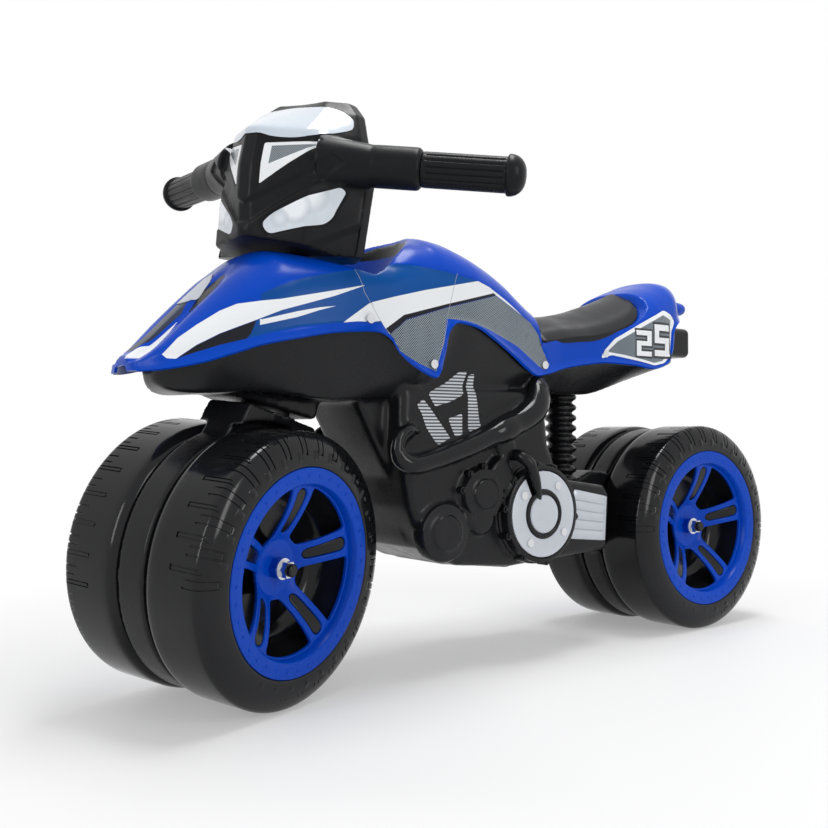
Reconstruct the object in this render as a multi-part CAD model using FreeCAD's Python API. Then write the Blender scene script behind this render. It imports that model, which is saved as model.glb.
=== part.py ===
import FreeCAD, Part
import math
import os

# Ride-on motorbike for a small child, pushed along with the feet.
# Millimetres.  +X points forward, +Y to the rider's left, +Z up.
# The model is built with the axle line at height zero and raised by the wheel radius at the end,
# so the origin is on the floor under the middle of the rear axle.
# The steering is modelled straight, about the middle of the front axle, and then turned.
# Turned wheels on a raked axis stand on one edge, so at rest the whole bike is nosed up a little.

V = FreeCAD.Vector

# Overall layout
wheelbase = 560.0
wheel_radius = 115.0
rake = 14.3                    # lean of the steering axis, degrees
steer_rest = 20.3              # how far the steering is turned to the left at rest, degrees

# Clearances
running_fit = 0.05             # radial, a part that turns on a rod
snug_fit = 0.02                # radial, a rod held in a bore
end_gap = 0.3                  # along an axle, between parts that turn past each other
wheel_gap = 1.2                # between a wheel and the disc beside it
disc_drop = 3.0                # how much smaller the middle disc is than the wheels
well_gap = 3.0                 # under the foot of the handlebar, to the cover

# Axles
axle_radius = 4.0
washer_radius = 9.0
washer_thickness = 1.6
nut_flats = 13.0
nut_height = 6.5
cap_radius = 5.6
cap_length = 4.5

# Wheels
disc_half = 14.5               # half thickness of the middle disc
tread_edge = 68.0              # distance of the tread's outer edge from the middle
rim_plane = 80.0               # distance of the rim's face from the middle
rim_radius = 86.5
ring_width = 13.5
ring_thickness = 3.0
rim_lip = 9.0                  # depth of the wall inside the flange ring
dish_depth = 44.0              # depth of the black dish behind the spokes
dish_floor_radius = 60.0
inner_round = 9.0
hub_radius = 12.0
hub_plate_face = 50.0          # distance of the rim's hub plate from the middle
hub_plate_radius = 22.0
boss_flats = 15.0              # across the flats of the rim's hexagonal boss
boss_end = 57.0                # distance of the boss's outer end from the middle
spoke_count = 5
spoke_start = 21.0             # angle of the first spoke above the forward direction, degrees
spoke_thickness = 4.0
spoke_width = 24.0
slot_width = 11.0
spoke_root = 27.0              # radius at which the openings between the spokes begin
rivet_count = 36
rivet_radius = 1.6
rivet_height = 0.8
lug_count = 30
lug_length = 9.0
lug_width = 6.0
lug_height = 0.8

# Steering
tube_radius = 10.0
bush_wall = 4.0
bush_flange = 3.0
bush_flange_wall = 10.0
bush_length = 22.0
fork_top = 128.0               # along the steering axis from the front axle
head_bottom = fork_top + end_gap + bush_flange
stem_top = 322.0
stem_bottom = 60.0
neck_half = 24.0
head_front = 46.0
head_back = 36.0
head_half = 32.0
head_height = 40.0
well_radius = 87.0
foot_level = 263.0             # along the steering axis, the handlebar's foot
bar_root = (-35.0, 44.0, 341.0)
bar_end = (-107.0, 203.0, 336.0)
bar_root_radius = 24.0
bar_flare_length = 47.0
bar_neck_length = 3.0
bar_neck_depth = 0.5
collar_radius = 18.0
collar_bevel = 3.0
grip_length = 87.0
grip_core_radius = 11.0
grip_radius = 15.0
grip_groove_count = 16
grip_groove_radius = 1.3
bulb_radius = 17.4
bulb_length = 15.0

# Cover and body
cover_wall = 3.0
seat_clearance = 0.3
filling_gap = 0.15             # between the inside of the cover and the body
plate_thickness = 0.8
screw_head_radius = 4.0
screw_shank_radius = 1.8
screw_head_height = 1.6
screw_length = 9.0

# Engine
engine_half = 64.0
ring_outer_radius = 42.0
ring_inner_radius = 24.0
ring_plate_thickness = 2.4
ring_boss_radius = 47.0
ring_boss_height = 12.0
cap_plate_radius = 19.0
ribbed_half = 62.0
ribbed_plate_thickness = 2.0
ribbed_rib_count = 3
shock_radius = 15.0
shock_groove = 3.5
shock_ring_count = 7
shock_x = 157.0
shock_bottom = 50.0
shock_top = 152.0
lamp_length = 38.0
lamp_half = 22.0
lamp_height = 35.0
lamp_bottom = 198.0

# Places along the bike
def ahead(dx):
    """A place measured from the front axle."""
    return wheelbase + dx


def middle(dx):
    """A place measured from halfway between the axles."""
    return wheelbase / 2 + dx


def rear(dx):
    """A place measured from the rear axle."""
    return dx


# Cross-sections of the cover and of the body under it, from the nose to the tail, each as
# place, half width, crown, shoulder, cover edge, half width of the belly, belly height.
# Heights are above the axle line.
stations = [
    (ahead(92), 28, 171.5, 165, 157, 10, 153),
    (ahead(86), 35, 176, 164, 157, 18, 150),
    (ahead(76), 43, 185, 164, 157, 24, 146),
    (ahead(56), 55, 206, 170, 160, 34, 140),
    (ahead(32), 64, 229, 180, 170, 42, 140),
    (ahead(12), 70, 247, 190, 177, 45, 141),
    (ahead(-18), 76, 264, 202, 184, 46, 140),
    (ahead(-58), 82, 265, 214, 191, 48, 136),
    (ahead(-94), 86, 267, 222, 193, 49, 136),
    (ahead(-127), 88, 281, 228, 175, 50, 139),
    (ahead(-150), 89, 288.5, 232, 170, 52, 140),
    (middle(103), 89, 291.5, 234, 205, 56, 142),
    (middle(81), 87, 288, 234, 206, 57, 143),
    (middle(49), 82, 278, 228, 198, 57, 144),
    (middle(6), 73, 258.5, 215, 176, 55, 145),
    (middle(-26), 66, 237, 204, 166, 48, 147),
    (middle(-59), 61, 226, 195, 172, 42, 148),
    (rear(200), 60, 222, 192, 177, 37, 148),
    (rear(178), 60, 222, 193, 180, 34, 148),
    (rear(140), 62, 231, 198, 183, 30, 150),
    (rear(102), 65, 251.5, 210, 181, 28, 160),
    (rear(75), 66, 266.5, 219, 180, 28, 168),
    (rear(51), 64, 276, 225, 186, 29, 175),
    (rear(30), 59.5, 283, 237, 222, 30, 180),
    (rear(9), 45, 284, 244, 226, 28, 185),
    (rear(-8), 31, 280, 248, 229, 22, 189),
    (rear(-20), 17, 273, 250, 231, 12, 193),
]

# The front of the black body under the cover, in the same terms.
chin_stations = [
    (ahead(76), 12, 176, 163, 160, 7, 152),
    (ahead(69), 29, 188, 166, 158, 17, 144),
    (ahead(56), 46, 200, 170, 160, 30, 140),
]

# Lower edge of the cover, seen from the side, from the nose to the tail.
cover_edge = [
    (ahead(112), 156), (ahead(92), 157), (ahead(76), 158), (ahead(64), 161), (ahead(26), 173),
    (ahead(-16), 184), (ahead(-60), 192), (ahead(-91), 194), (ahead(-108), 188), (ahead(-117), 175),
    (ahead(-130), 166), (ahead(-154), 156), (ahead(-160), 171), (middle(114), 194),
    (middle(108), 204), (middle(98), 208), (middle(80), 205), (middle(52), 196), (middle(22), 182),
    (middle(-2), 170), (middle(-20), 164), (middle(-40), 167), (rear(213), 174), (rear(182), 179),
    (rear(150), 182), (rear(113), 181), (rear(78), 178), (rear(55), 185), (rear(48), 198),
    (rear(45), 219), (rear(32), 232), (rear(-60), 246),
]

# Seat sections: place, half width, crown, edge height, underside.
seat_sections = [
    (rear(250), 34, 221, 196, 186),
    (rear(238), 60, 229, 200, 188),
    (rear(206), 61, 232, 205, 193),
    (rear(170), 61, 236.5, 209, 198),
    (rear(138), 61, 244.5, 216, 206),
    (rear(108), 59, 255.5, 226, 219),
    (rear(88), 54, 264.5, 238, 232),
    (rear(74), 36, 271, 252, 246),
]

# Side outlines of the lower body: the leg, the engine and the block in front of the rear wheel.
leg_outline = [
    (ahead(-78), 150), (ahead(-82), 136), (ahead(-101), 136), (ahead(-123), 96), (ahead(-141), 65),
    (ahead(-158), 8), (ahead(-205), -18), (middle(-12), -28), (middle(-12), 150),
]
engine_outline = [
    (middle(144), 150), (middle(146), 98), (middle(134), 40), (middle(118), 2), (middle(76), -17),
    (middle(8), -23), (middle(-46), -20), (middle(-60), 20), (middle(-60), 60), (middle(-42), 96),
    (middle(-36), 150),
]
rear_block_outline = [
    (middle(-20), -22), (rear(150), -16), (rear(145), 42), (rear(152), 52), (middle(-20), 66),
]
web_outline = [
    (rear(40), -40), (rear(165), -14), (rear(170), 46), (rear(120), 66), (rear(40), 50),
]

# Relief on the engine's sides: place, height, radius, how far it stands out.
engine_bosses = [
    (middle(99), 16, 27, 6), (middle(99), 16, 16, 9), (middle(54), 50, 24, 9), (middle(30), 68, 15, 9),
    (middle(56), 28, 16, 9), (middle(54), 50, 14, 13), (middle(22), 94, 12, 8),
]
exhaust_route = [
    (middle(136), 110, 5.0), (middle(146), 104, 5.0), (middle(151), 92, 6.0), (middle(144), 82, 7.0),
    (middle(130), 79, 8.0), (middle(112), 83, 8.5), (middle(84), 91, 9.0), (middle(46), 104, 10.0),
    (middle(26), 110, 12.5), (middle(6), 118, 12.0), (middle(-13), 130, 13.0), (middle(-24), 150, 11.0),
]
fin_bars = [
    [(middle(128), 132), (middle(121), 138), (middle(111), 128), (middle(89), 103), (middle(104), 96),
     (middle(117), 112), (middle(123), 125)],
    [(middle(113), 142), (middle(74), 142), (middle(89), 136), (middle(107), 131), (middle(111), 137)],
    [(middle(67), 142), (middle(60), 142), (middle(52), 114), (middle(67), 109)],
    [(middle(91), 120), (middle(75), 125), (middle(74), 107), (middle(82), 104)],
]
engine_centre = (middle(-18.5), 28)
ribbed_outline = [(rear(204), 49), (rear(155), 40), (rear(158), -5), (rear(210), 0)]

# Handlebar pod sections, level, in the steering's own frame: height, ridge, side place,
# half width, back place, back half width.
pod_sections = [
    (262, 8, -45, 79, -95, 43),
    (300, 11, -51, 79, -94, 38),
    (335, 10, -58, 78, -94, 37),
    (366, 4, -60, 66, -95, 42),
    (388, -38, -66, 56, -93, 44),
    (401, -62, -72, 42, -87, 36),
]

# Printed plates on the pod: front views as (side, height), in the steering's own frame.
screen_panel = [(-38, 397), (38, 397), (54, 384), (58, 370), (30, 359), (-30, 359), (-58, 370), (-54, 384)]
race_panel = [(-44, 356), (44, 356), (2, 326), (-2, 326)]
headlamp_panel = [(16, 290), (30, 280), (62, 289), (73, 322), (69, 327)]

# Plates on the cover: side views as (place, height), and the badge on the nose from above.
number_panel = [
    (rear(158), 186), (rear(142), 205), (rear(62), 241), (rear(40), 233), (rear(54), 190), (rear(76), 182),
]
badge_place = ahead(31)
badge_half = 15.0

# Cover screws on both sides: place, height.
cover_screws = [
    (ahead(-86), 204), (ahead(-152), 168), (rear(246), 175), (rear(152), 191),
]


def find_rest_pitch():
    """How far the bike is nosed up at rest, as its turned front wheels stand on one edge."""
    pitch = 0.0
    for _ in range(6):
        tilt = math.sin(math.radians(rake + pitch)) * math.sin(math.radians(steer_rest))
        lift = tread_edge * tilt - wheel_radius * (1 - math.sqrt(1 - tilt * tilt))
        pitch = math.degrees(math.asin(lift / wheelbase))
    return pitch


rest_pitch = find_rest_pitch()


def up(shape):
    """Nose a shape up about the rear axle and raise it to its height above the floor."""
    moved = shape.copy()
    moved.rotate(V(0, 0, 0), V(0, 1, 0), -rest_pitch)
    moved.translate(V(0, 0, wheel_radius))
    return moved


def fuse(shapes):
    """Join overlapping shapes to one solid."""
    joined = shapes[0].fuse(shapes[1:]) if len(shapes) > 1 else shapes[0]
    return joined.removeSplitter()


def cut(shape, tools):
    for tool in tools:
        shape = shape.cut(tool)
    return shape


def round_edges(shape):
    """The full circles among a shape's edges."""
    return [e for e in shape.Edges if len(e.Vertexes) == 1 and e.Curve.TypeId == "Part::GeomCircle"]


def mirror_y(shape):
    return shape.mirror(V(0, 0, 0), V(0, 1, 0))


def sided(shape, side):
    """The shape itself on the left, its mirror image on the right."""
    return shape if side > 0 else mirror_y(shape)


def swung(shape, side):
    """The shape itself on the left, the same shape turned half round on the right."""
    moved = shape.copy()
    if side < 0:
        moved.rotate(V(0, 0, 0), V(0, 0, 1), 180)
    return moved


def outline_prism(points, half, rounding=0.0):
    """A side outline of (place, height) carried out to both sides."""
    ring = [V(x, -half, z) for x, z in points]
    solid = Part.Face(Part.makePolygon(ring + ring[:1])).extrude(V(0, 2 * half, 0))
    if rounding > 0:
        rims = [e for e in solid.Edges if abs(e.Vertexes[0].Y - e.Vertexes[-1].Y) < 1e-6]
        solid = solid.makeFillet(rounding, rims)
    return solid


def side_prism(points, y_from, y_to):
    """A side outline between two distances from the middle."""
    ring = [V(x, y_from, z) for x, z in points]
    return Part.Face(Part.makePolygon(ring + ring[:1])).extrude(V(0, y_to - y_from, 0))


def rod_y(radius, y_from, y_to, x=0.0, z=0.0):
    return Part.makeCylinder(radius, y_to - y_from, V(x, y_from, z), V(0, 1, 0))


def rod_between(start, end, start_radius, end_radius):
    """A straight rod, tapered if its ends differ."""
    a = V(*start)
    b = V(*end)
    if abs(start_radius - end_radius) < 1e-6:
        return Part.makeCylinder(start_radius, (b - a).Length, a, b - a)
    return Part.makeCone(start_radius, end_radius, (b - a).Length, a, b - a)


def turned_y(profile):
    """Turn a closed outline of (radius, distance from the middle) about the Y axis."""
    ring = [V(r, y, 0) for r, y in profile]
    face = Part.Face(Part.makePolygon(ring + ring[:1]))
    return face.revolve(V(0, 0, 0), V(0, 1, 0), 360)


def hexagon_y(flats, y_from, y_to):
    radius = flats / math.sqrt(3)
    ring = []
    for k in range(6):
        a = math.radians(60 * k)
        ring.append(V(radius * math.cos(a), y_from, radius * math.sin(a)))
    return Part.Face(Part.makePolygon(ring + ring[:1])).extrude(V(0, y_to - y_from, 0))


# The steering's axis and its place in the bike
axis_dir = V(-math.sin(math.radians(rake)), 0, math.cos(math.radians(rake)))


def on_axis(distance):
    """The point of the steering axis at a distance from the front axle, in the steering's frame."""
    return axis_dir * distance


def axis_rod(radius, start, end):
    return Part.makeCylinder(radius, end - start, on_axis(start), axis_dir)


def turned(shape):
    """Turn a steering part about its axis and put it at the front axle."""
    moved = shape.copy()
    moved.rotate(V(0, 0, 0), axis_dir, steer_rest)
    moved.translate(V(wheelbase, 0, 0))
    return moved


def straight(shape):
    """Put a part made about the front axle into the bike without turning it."""
    moved = shape.copy()
    moved.translate(V(wheelbase, 0, 0))
    return moved


# Cover and body skins
def arch(x, width, crown, shoulder, squareness=2.6):
    """The curve over the top of one section, from the right shoulder to the left one."""
    points = []
    for k in range(-6, 7):
        a = math.radians(90 - 15 * k)
        y = width * math.copysign(abs(math.cos(a)) ** (2 / squareness), math.cos(a))
        z = shoulder + (crown - shoulder) * abs(math.sin(a)) ** (2 / squareness)
        points.append(V(x, y, z))
    curve = Part.BSplineCurve()
    curve.interpolate(points)
    return curve.toShape(), points[0], points[-1]


def closed_by(edges, corners):
    """A closed section of curves and the straight lines between corners."""
    return Part.Wire(edges + [Part.makeLine(a, b) for a, b in zip(corners, corners[1:])])


def skin_section(row, inset, foot):
    """A closed section whose sides drop straight to the given height."""
    x, width, crown, shoulder = row[:4]
    curve, start, end = arch(x, width - inset, crown - inset, shoulder - inset / 2)
    low_start = V(x, start.y, foot)
    low_end = V(x, end.y, foot)
    return closed_by([curve], [end, low_end, low_start, start])


def belly_section(row, inset):
    """A closed section that narrows below the cover's edge to the belly."""
    x, width, crown, shoulder, edge, belly_half, belly = row
    curve, start, end = arch(x, width - inset, crown - inset, shoulder - inset / 2)
    side = start.y / abs(start.y)
    rim = min(edge, shoulder - inset / 2 - 1.0)
    corners = [
        end, V(x, end.y, rim), V(x, -side * belly_half, belly), V(x, side * belly_half, belly),
        V(x, start.y, rim), start,
    ]
    return closed_by([curve], corners)


def skin(inset, foot, rows):
    return Part.makeLoft([skin_section(row, inset, foot) for row in rows], True, False)


def seat_shape(grow):
    """The seat, grown on every side by a clearance."""
    wires = []
    for k, (x, half, crown, edge, under) in enumerate(seat_sections):
        if k == 0:
            x = x + grow
        if k == len(seat_sections) - 1:
            x = x - grow
        curve, start, end = arch(x, half + grow, crown + grow, edge)
        low_start = V(x, start.y, under - grow)
        low_end = V(x, end.y, under - grow)
        wires.append(closed_by([curve], [end, low_end, low_start, start]))
    return Part.makeLoft(wires, True, False)


def well_shape(grow):
    """The room above the cover in which the handlebar's foot turns."""
    level = foot_level - well_gap - grow
    return straight(axis_rod(well_radius + grow, level, level + 140))


def above_edge(drop):
    """Everything above the cover's lower edge, or from a little below it."""
    top = 400
    edge = [(x, z - drop) for x, z in cover_edge]
    points = edge + [(cover_edge[-1][0] - 40, top), (cover_edge[0][0] + 40, top)]
    return outline_prism(points, 200)


def make_skins():
    """The cover and the top of the body under it."""
    foot = 120
    outer = skin(0, foot, stations)
    inner = skin(cover_wall, foot - 10, stations[1:-1])
    outer = cut(outer, [well_shape(0), seat_shape(seat_clearance)])
    inner = cut(inner, [well_shape(cover_wall), seat_shape(seat_clearance + cover_wall)])
    tube_hole = straight(axis_rod(tube_radius + bush_wall + bush_flange_wall, 0, 400))
    shell = cut(outer, [inner, tube_hole]).common(above_edge(0))
    under = cover_wall + seat_clearance
    spine_rows = chin_stations + stations[4:-1]
    spine = Part.makeLoft([belly_section(row, under) for row in spine_rows], True, False)
    spine = cut(spine, [well_shape(under), seat_shape(seat_clearance + under)])
    room = skin(cover_wall + filling_gap, foot - 10, stations[1:-1])
    room = cut(room, [well_shape(cover_wall + filling_gap), seat_shape(under + filling_gap)])
    around = above_edge(seat_clearance).cut(room)
    return shell, outer, spine, around


def largest(shape):
    """The biggest solid of a result, without crumbs."""
    return max(shape.Solids, key=lambda s: s.Volume)


# Black body
def head_block():
    """The block around the steering tube, square to the steering axis."""
    block = Part.makeBox(head_front + head_back, 2 * head_half, head_height)
    block = block.makeFillet(6.0, [e for e in block.Edges if abs(e.Vertexes[0].Z - e.Vertexes[-1].Z) > 1])
    block.translate(V(-head_back, -head_half, 0))
    block.rotate(V(0, 0, 0), V(0, 1, 0), -rake)
    block.translate(on_axis(head_bottom))
    return straight(block)


def exhaust(side):
    """A pipe that bends down from under the cover and swells towards the back."""
    y = engine_half + 2
    pieces = []
    for (x0, z0, r0), (x1, z1, r1) in zip(exhaust_route, exhaust_route[1:]):
        pieces.append(rod_between((x0, y, z0), (x1, y, z1), r0, r1))
        pieces.append(Part.makeSphere(r1, V(x1, y, z1)))
    pieces.append(Part.makeSphere(exhaust_route[0][2], V(exhaust_route[0][0], y, exhaust_route[0][1])))
    return [sided(p, side) for p in pieces]


def engine_relief(side):
    shapes = []
    for x, z, radius, height in engine_bosses:
        boss = rod_y(radius, engine_half - 6, engine_half + height, x, z)
        boss = boss.makeFillet(2.0, [e for e in round_edges(boss) if e.Vertexes[0].Y > engine_half])
        shapes.append(sided(boss, side))
    x, z = engine_centre
    boss = rod_y(ring_boss_radius, engine_half - 6, engine_half + ring_boss_height, x, z)
    shapes.append(sided(boss, side))
    return shapes


def make_body(spine, around):
    disc = rod_y(wheel_radius - disc_drop, -disc_half, disc_half)
    disc = disc.makeFillet(2.0, round_edges(disc))
    solids = [
        spine, outline_prism(leg_outline, 42, 6), outline_prism(engine_outline, engine_half, 8),
        outline_prism(rear_block_outline, ribbed_half, 6), outline_prism(web_outline, disc_half),
        disc, head_block(),
    ]
    for side in (1, -1):
        solids += exhaust(side) + engine_relief(side)
    body = fuse(solids).cut(around)
    body = body.cut(Part.makeCompound(engine_screws(1) + engine_screws(-1)))
    bore = tube_radius + bush_wall + snug_fit
    body = cut(body, [
        straight(axis_rod(bore, head_bottom - 5, head_bottom + bush_length + end_gap)),
        straight(axis_rod(tube_radius + 2, 0, 400)),
        straight(axis_rod(bore, upper_bush_start() - end_gap, 400)),
        rod_y(axle_radius + snug_fit, -disc_half - 1, disc_half + 1),
    ])
    return body


def upper_bush_start():
    """Where the upper bush begins, so that it ends level with the floor of the well."""
    return foot_level - well_gap - cover_wall - seat_clearance - bush_length


def bush(start, flange_down):
    """A flanged plastic bearing for the steering tube."""
    outer = tube_radius + bush_wall
    body = axis_rod(outer, start, start + bush_length)
    at = start - bush_flange if flange_down else start + bush_length
    flange = axis_rod(outer + bush_flange_wall - 2, at, at + bush_flange)
    bore = axis_rod(tube_radius + running_fit, start - 20, start + bush_length + 20)
    return straight(fuse([body, flange]).cut(bore))


def make_shock():
    """The ribbed boot between the rear block and the seat rail."""
    step = (shock_top - shock_bottom) / shock_ring_count
    profile = [(0, shock_bottom)]
    for k in range(shock_ring_count):
        z = shock_bottom + k * step
        profile += [
            (shock_radius - shock_groove, z), (shock_radius, z + step * 0.3), (shock_radius, z + step * 0.7),
        ]
    profile += [(shock_radius - shock_groove, shock_top), (0, shock_top)]
    ring = [V(r, 0, z) for r, z in profile]
    boot = Part.Face(Part.makePolygon(ring + ring[:1])).revolve(V(0, 0, 0), V(0, 0, 1), 360)
    boot.translate(V(shock_x, 0, 0))
    return boot


# Steering
def make_fork():
    """The middle disc of the front wheel with the neck that carries the steering tube."""
    disc = rod_y(wheel_radius - disc_drop, -disc_half, disc_half)
    disc = disc.makeFillet(2.0, round_edges(disc))
    top = on_axis(fork_top)
    neck = [
        (52, 74), (40, 96), (27, 112), (top.x + 44, top.z + 44 * math.tan(math.radians(rake))),
        (top.x - 44, top.z - 44 * math.tan(math.radians(rake))), (-78, 96), (-86, 60),
    ]
    web = outline_prism(neck, disc_half)
    collar_top = Part.makeCone(18, 30, fork_top - 102, on_axis(102), axis_dir)
    ring = wheel_radius + wheel_gap
    wide = outline_prism([p for p in neck[1:6]], neck_half)
    trim = [rod_y(ring + 3, disc_half, 60), rod_y(ring + 3, -60, -disc_half)]
    wide = cut(wide, trim)
    collar_top = cut(collar_top, trim)
    fork = fuse([disc, web, wide, collar_top])
    return cut(fork, [
        axis_rod(tube_radius + snug_fit, stem_bottom, fork_top + 20),
        rod_y(axle_radius + snug_fit, -disc_half - 1, disc_half + 1),
    ])


def pod_wire(row, grow):
    height, ridge, side_x, half, back_x, back_half = row
    points = [
        V(ridge + grow, 6, height), V((ridge + side_x) / 2 + 8 + grow, half * 0.62 + grow * 0.6, height),
        V(side_x + grow * 0.4, half + grow, height), V(side_x - 12, half + grow, height),
        V(back_x - grow, back_half + grow, height),
    ]
    ring = points + [V(p.x, -p.y, p.z) for p in reversed(points)]
    return Part.makePolygon(ring + ring[:1])


def pod_shape(grow):
    """The pod in the middle of the handlebar, with its laid-back screen."""
    return Part.makeLoft([pod_wire(row, grow) for row in pod_sections], True, True)


def front_patch(points, handlebar, side=1):
    """A thin plate on the pod's front, in the outline of a front view."""
    ring = [V(-70, y, z) for y, z in points]
    prism = Part.Face(Part.makePolygon(ring + ring[:1])).extrude(V(160, 0, 0))
    plate = pod_shape(plate_thickness).common(sided(prism, side))
    return plate.cut(handlebar)


def bar_line():
    """The start, direction and length of one half of the bar."""
    run = V(*bar_end) - V(*bar_root)
    length = run.Length
    return V(*bar_root), run.normalize(), length


def bar_side(side):
    """One half of the bar: a flare at the pod, the round collar and the core in the grip."""
    root, direction, length = bar_line()
    collar = length - grip_length - bar_flare_length
    flare_end = bar_flare_length - bar_neck_length
    neck_radius = collar_radius - bar_neck_depth
    flare = Part.makeCone(bar_root_radius, collar_radius, flare_end, root, direction)
    neck = Part.makeCylinder(neck_radius, bar_neck_length, root + direction * flare_end, direction)
    straight_part = Part.makeCylinder(collar_radius, collar, root + direction * bar_flare_length, direction)
    far_rim = max(round_edges(straight_part), key=lambda e: e.CenterOfMass.y)
    straight_part = straight_part.makeChamfer(collar_bevel, [far_rim])
    core = Part.makeCylinder(grip_core_radius, length - bulb_length / 2, root, direction)
    return [sided(r, side) for r in (flare, neck, straight_part, core)]


def make_handlebar():
    whole = fuse([pod_shape(0)] + bar_side(1) + bar_side(-1))
    foot = axis_rod(300, foot_level - 300, foot_level)
    stem = axis_rod(tube_radius + snug_fit, foot_level - 10, stem_top)
    return cut(whole, [foot, stem])


def make_grip(side):
    """A sleeve with lengthwise grooves and a round end."""
    root, direction, length = bar_line()
    start = length - grip_length
    sleeve = Part.makeCylinder(grip_radius, grip_length - bulb_length, root + direction * start, direction)
    across = direction.cross(V(0, 0, 1)).normalize()
    over = across.cross(direction)
    grooves = []
    for k in range(grip_groove_count):
        a = 2 * math.pi * k / grip_groove_count
        out = across * math.cos(a) + over * math.sin(a)
        spot = root + direction * (start + 2) + out * (grip_radius + 0.5)
        grooves.append(Part.makeCylinder(grip_groove_radius, grip_length - bulb_length - 3, spot, direction))
    sleeve = sleeve.cut(Part.makeCompound(grooves))
    bulb = Part.makeCylinder(bulb_radius, bulb_length, root + direction * (length - bulb_length), direction)
    near_rim = min(round_edges(bulb), key=lambda e: e.CenterOfMass.y)
    far_rim = max(round_edges(bulb), key=lambda e: e.CenterOfMass.y)
    bulb = bulb.makeFillet(2.5, [near_rim]).makeFillet(9.0, [far_rim])
    core = Part.makeCylinder(grip_core_radius + snug_fit, length - bulb_length / 2 + end_gap, root, direction)
    grip = fuse([sleeve, bulb]).cut(core)
    return sided(grip, side)


# Wheels
def fan_cut(inner, outer, middle_angle, width, between):
    """An opening of the rim: a slot of even width, or the space between two such widths."""
    steps = 4
    edges = ([], [])
    for k in range(steps + 1):
        r = inner + (outer - inner) * k / steps
        half = math.asin(width / 2 / r)
        if between:
            half = math.pi / spoke_count - half
        for sign, edge in zip((1, -1), edges):
            a = math.radians(middle_angle) + sign * half
            edge.append(V(r * math.cos(a), 0, r * math.sin(a)))
    ring = edges[0] + edges[1][::-1]
    return Part.Face(Part.makePolygon(ring + ring[:1])).extrude(V(0, 2 * rim_plane, 0))


def make_tyre():
    """The moulded black wheel: wide tread, round shoulder, and the dish behind the rim."""
    inner_face = disc_half + wheel_gap
    r = wheel_radius
    floor = rim_plane - dish_depth
    shoulder = []
    for k in range(7):
        a = math.radians(15 * k)
        reach = (r - rim_radius - 3) * math.cos(a)
        shoulder.append((rim_radius + 3 + reach, tread_edge + (rim_plane - tread_edge) * math.sin(a)))
    inside = []
    for k in range(4):
        a = math.radians(30 * k)
        inside.append((
            r - inner_round + inner_round * math.sin(a),
            inner_face + inner_round - inner_round * math.cos(a),
        ))
    profile = [(hub_radius + snug_fit, inner_face)] + inside + shoulder
    profile += [
        (rim_radius + snug_fit, rim_plane), (rim_radius + snug_fit, rim_plane - ring_thickness),
        (rim_radius - ring_width + snug_fit, rim_plane - ring_thickness),
        (rim_radius - ring_width + snug_fit, rim_plane - ring_thickness - rim_lip),
        (dish_floor_radius, floor), (hub_radius + snug_fit, floor),
    ]
    tyre = turned_y(profile)
    lug = Part.makeBox(lug_length, 2 * lug_height, lug_width)
    lugs = []
    for k in range(lug_count):
        one = lug.copy()
        one.translate(V(rim_radius + 5, rim_plane - lug_height - 0.9, -lug_width / 2))
        one.rotate(V(0, 0, 0), V(0, 1, 0), 360 * k / lug_count)
        lugs.append(one)
    return tyre.fuse(lugs).removeSplitter()


def make_rim():
    """The coloured rim: flange ring, rivet heads, dished double spokes, hub plate and boss."""
    ring_inner = rim_radius - ring_width
    back = rim_plane - ring_thickness
    lip = back - rim_lip + 3
    bore = axle_radius + running_fit
    plate_back = hub_plate_face - spoke_thickness
    dish = turned_y([
        (bore, plate_back), (hub_plate_radius, plate_back), (ring_inner - 1, lip - 3), (ring_inner, lip),
        (ring_inner, back), (rim_radius, back), (rim_radius, rim_plane), (ring_inner, rim_plane),
        (ring_inner - 3, lip + 2), (hub_plate_radius + 2, hub_plate_face), (bore, hub_plate_face),
    ])
    boss = hexagon_y(boss_flats, hub_plate_face - 1, boss_end).cut(rod_y(bore, 0, rim_plane))
    cuts = []
    for k in range(spoke_count):
        angle = spoke_start + 360 * k / spoke_count
        cuts.append(fan_cut(spoke_root, ring_inner - 3, angle + 180 / spoke_count, spoke_width, True))
        cuts.append(fan_cut(spoke_root, ring_inner - 6, angle, slot_width, False))
    rivets = []
    for k in range(rivet_count):
        a = math.radians(360 * k / rivet_count)
        r = rim_radius - ring_width / 2
        rivet = rod_y(rivet_radius, rim_plane - 1, rim_plane + rivet_height, r * math.cos(a), r * math.sin(a))
        rivets.append(rivet)
    return cut(dish, cuts).fuse(rivets + [boss]).removeSplitter()


def make_hub():
    """The plastic bearing pressed into the wheel, behind the rim's hub plate."""
    start = disc_half + end_gap
    body = rod_y(hub_radius, start, hub_plate_face - spoke_thickness)
    return body.cut(rod_y(axle_radius + running_fit, 0, rim_plane))


def nut_start():
    return boss_end + end_gap + washer_thickness


def make_axle():
    """One steel rod through both wheels and the disc between them."""
    end = nut_start() + nut_height
    return rod_y(axle_radius, -end, end)


def make_washer():
    disc = rod_y(washer_radius, boss_end + end_gap, nut_start())
    return disc.cut(rod_y(axle_radius + snug_fit, 0, rim_plane))


def make_nut():
    nut = hexagon_y(nut_flats, nut_start(), nut_start() + nut_height)
    return nut.cut(rod_y(axle_radius + snug_fit, 0, rim_plane))


def make_cap():
    """The domed end cap on the rod."""
    start = nut_start() + nut_height
    cap = rod_y(cap_radius, start, start + cap_length)
    return cap.makeFillet(2.0, [e for e in round_edges(cap) if e.Vertexes[0].Y > start + 1])


# Small parts on the body
def side_patch(points, outer, grown, side):
    """A thin plate on the cover, in the outline of a side view."""
    return grown.cut(outer).common(sided(side_prism(points, 20, 120), side))


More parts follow.
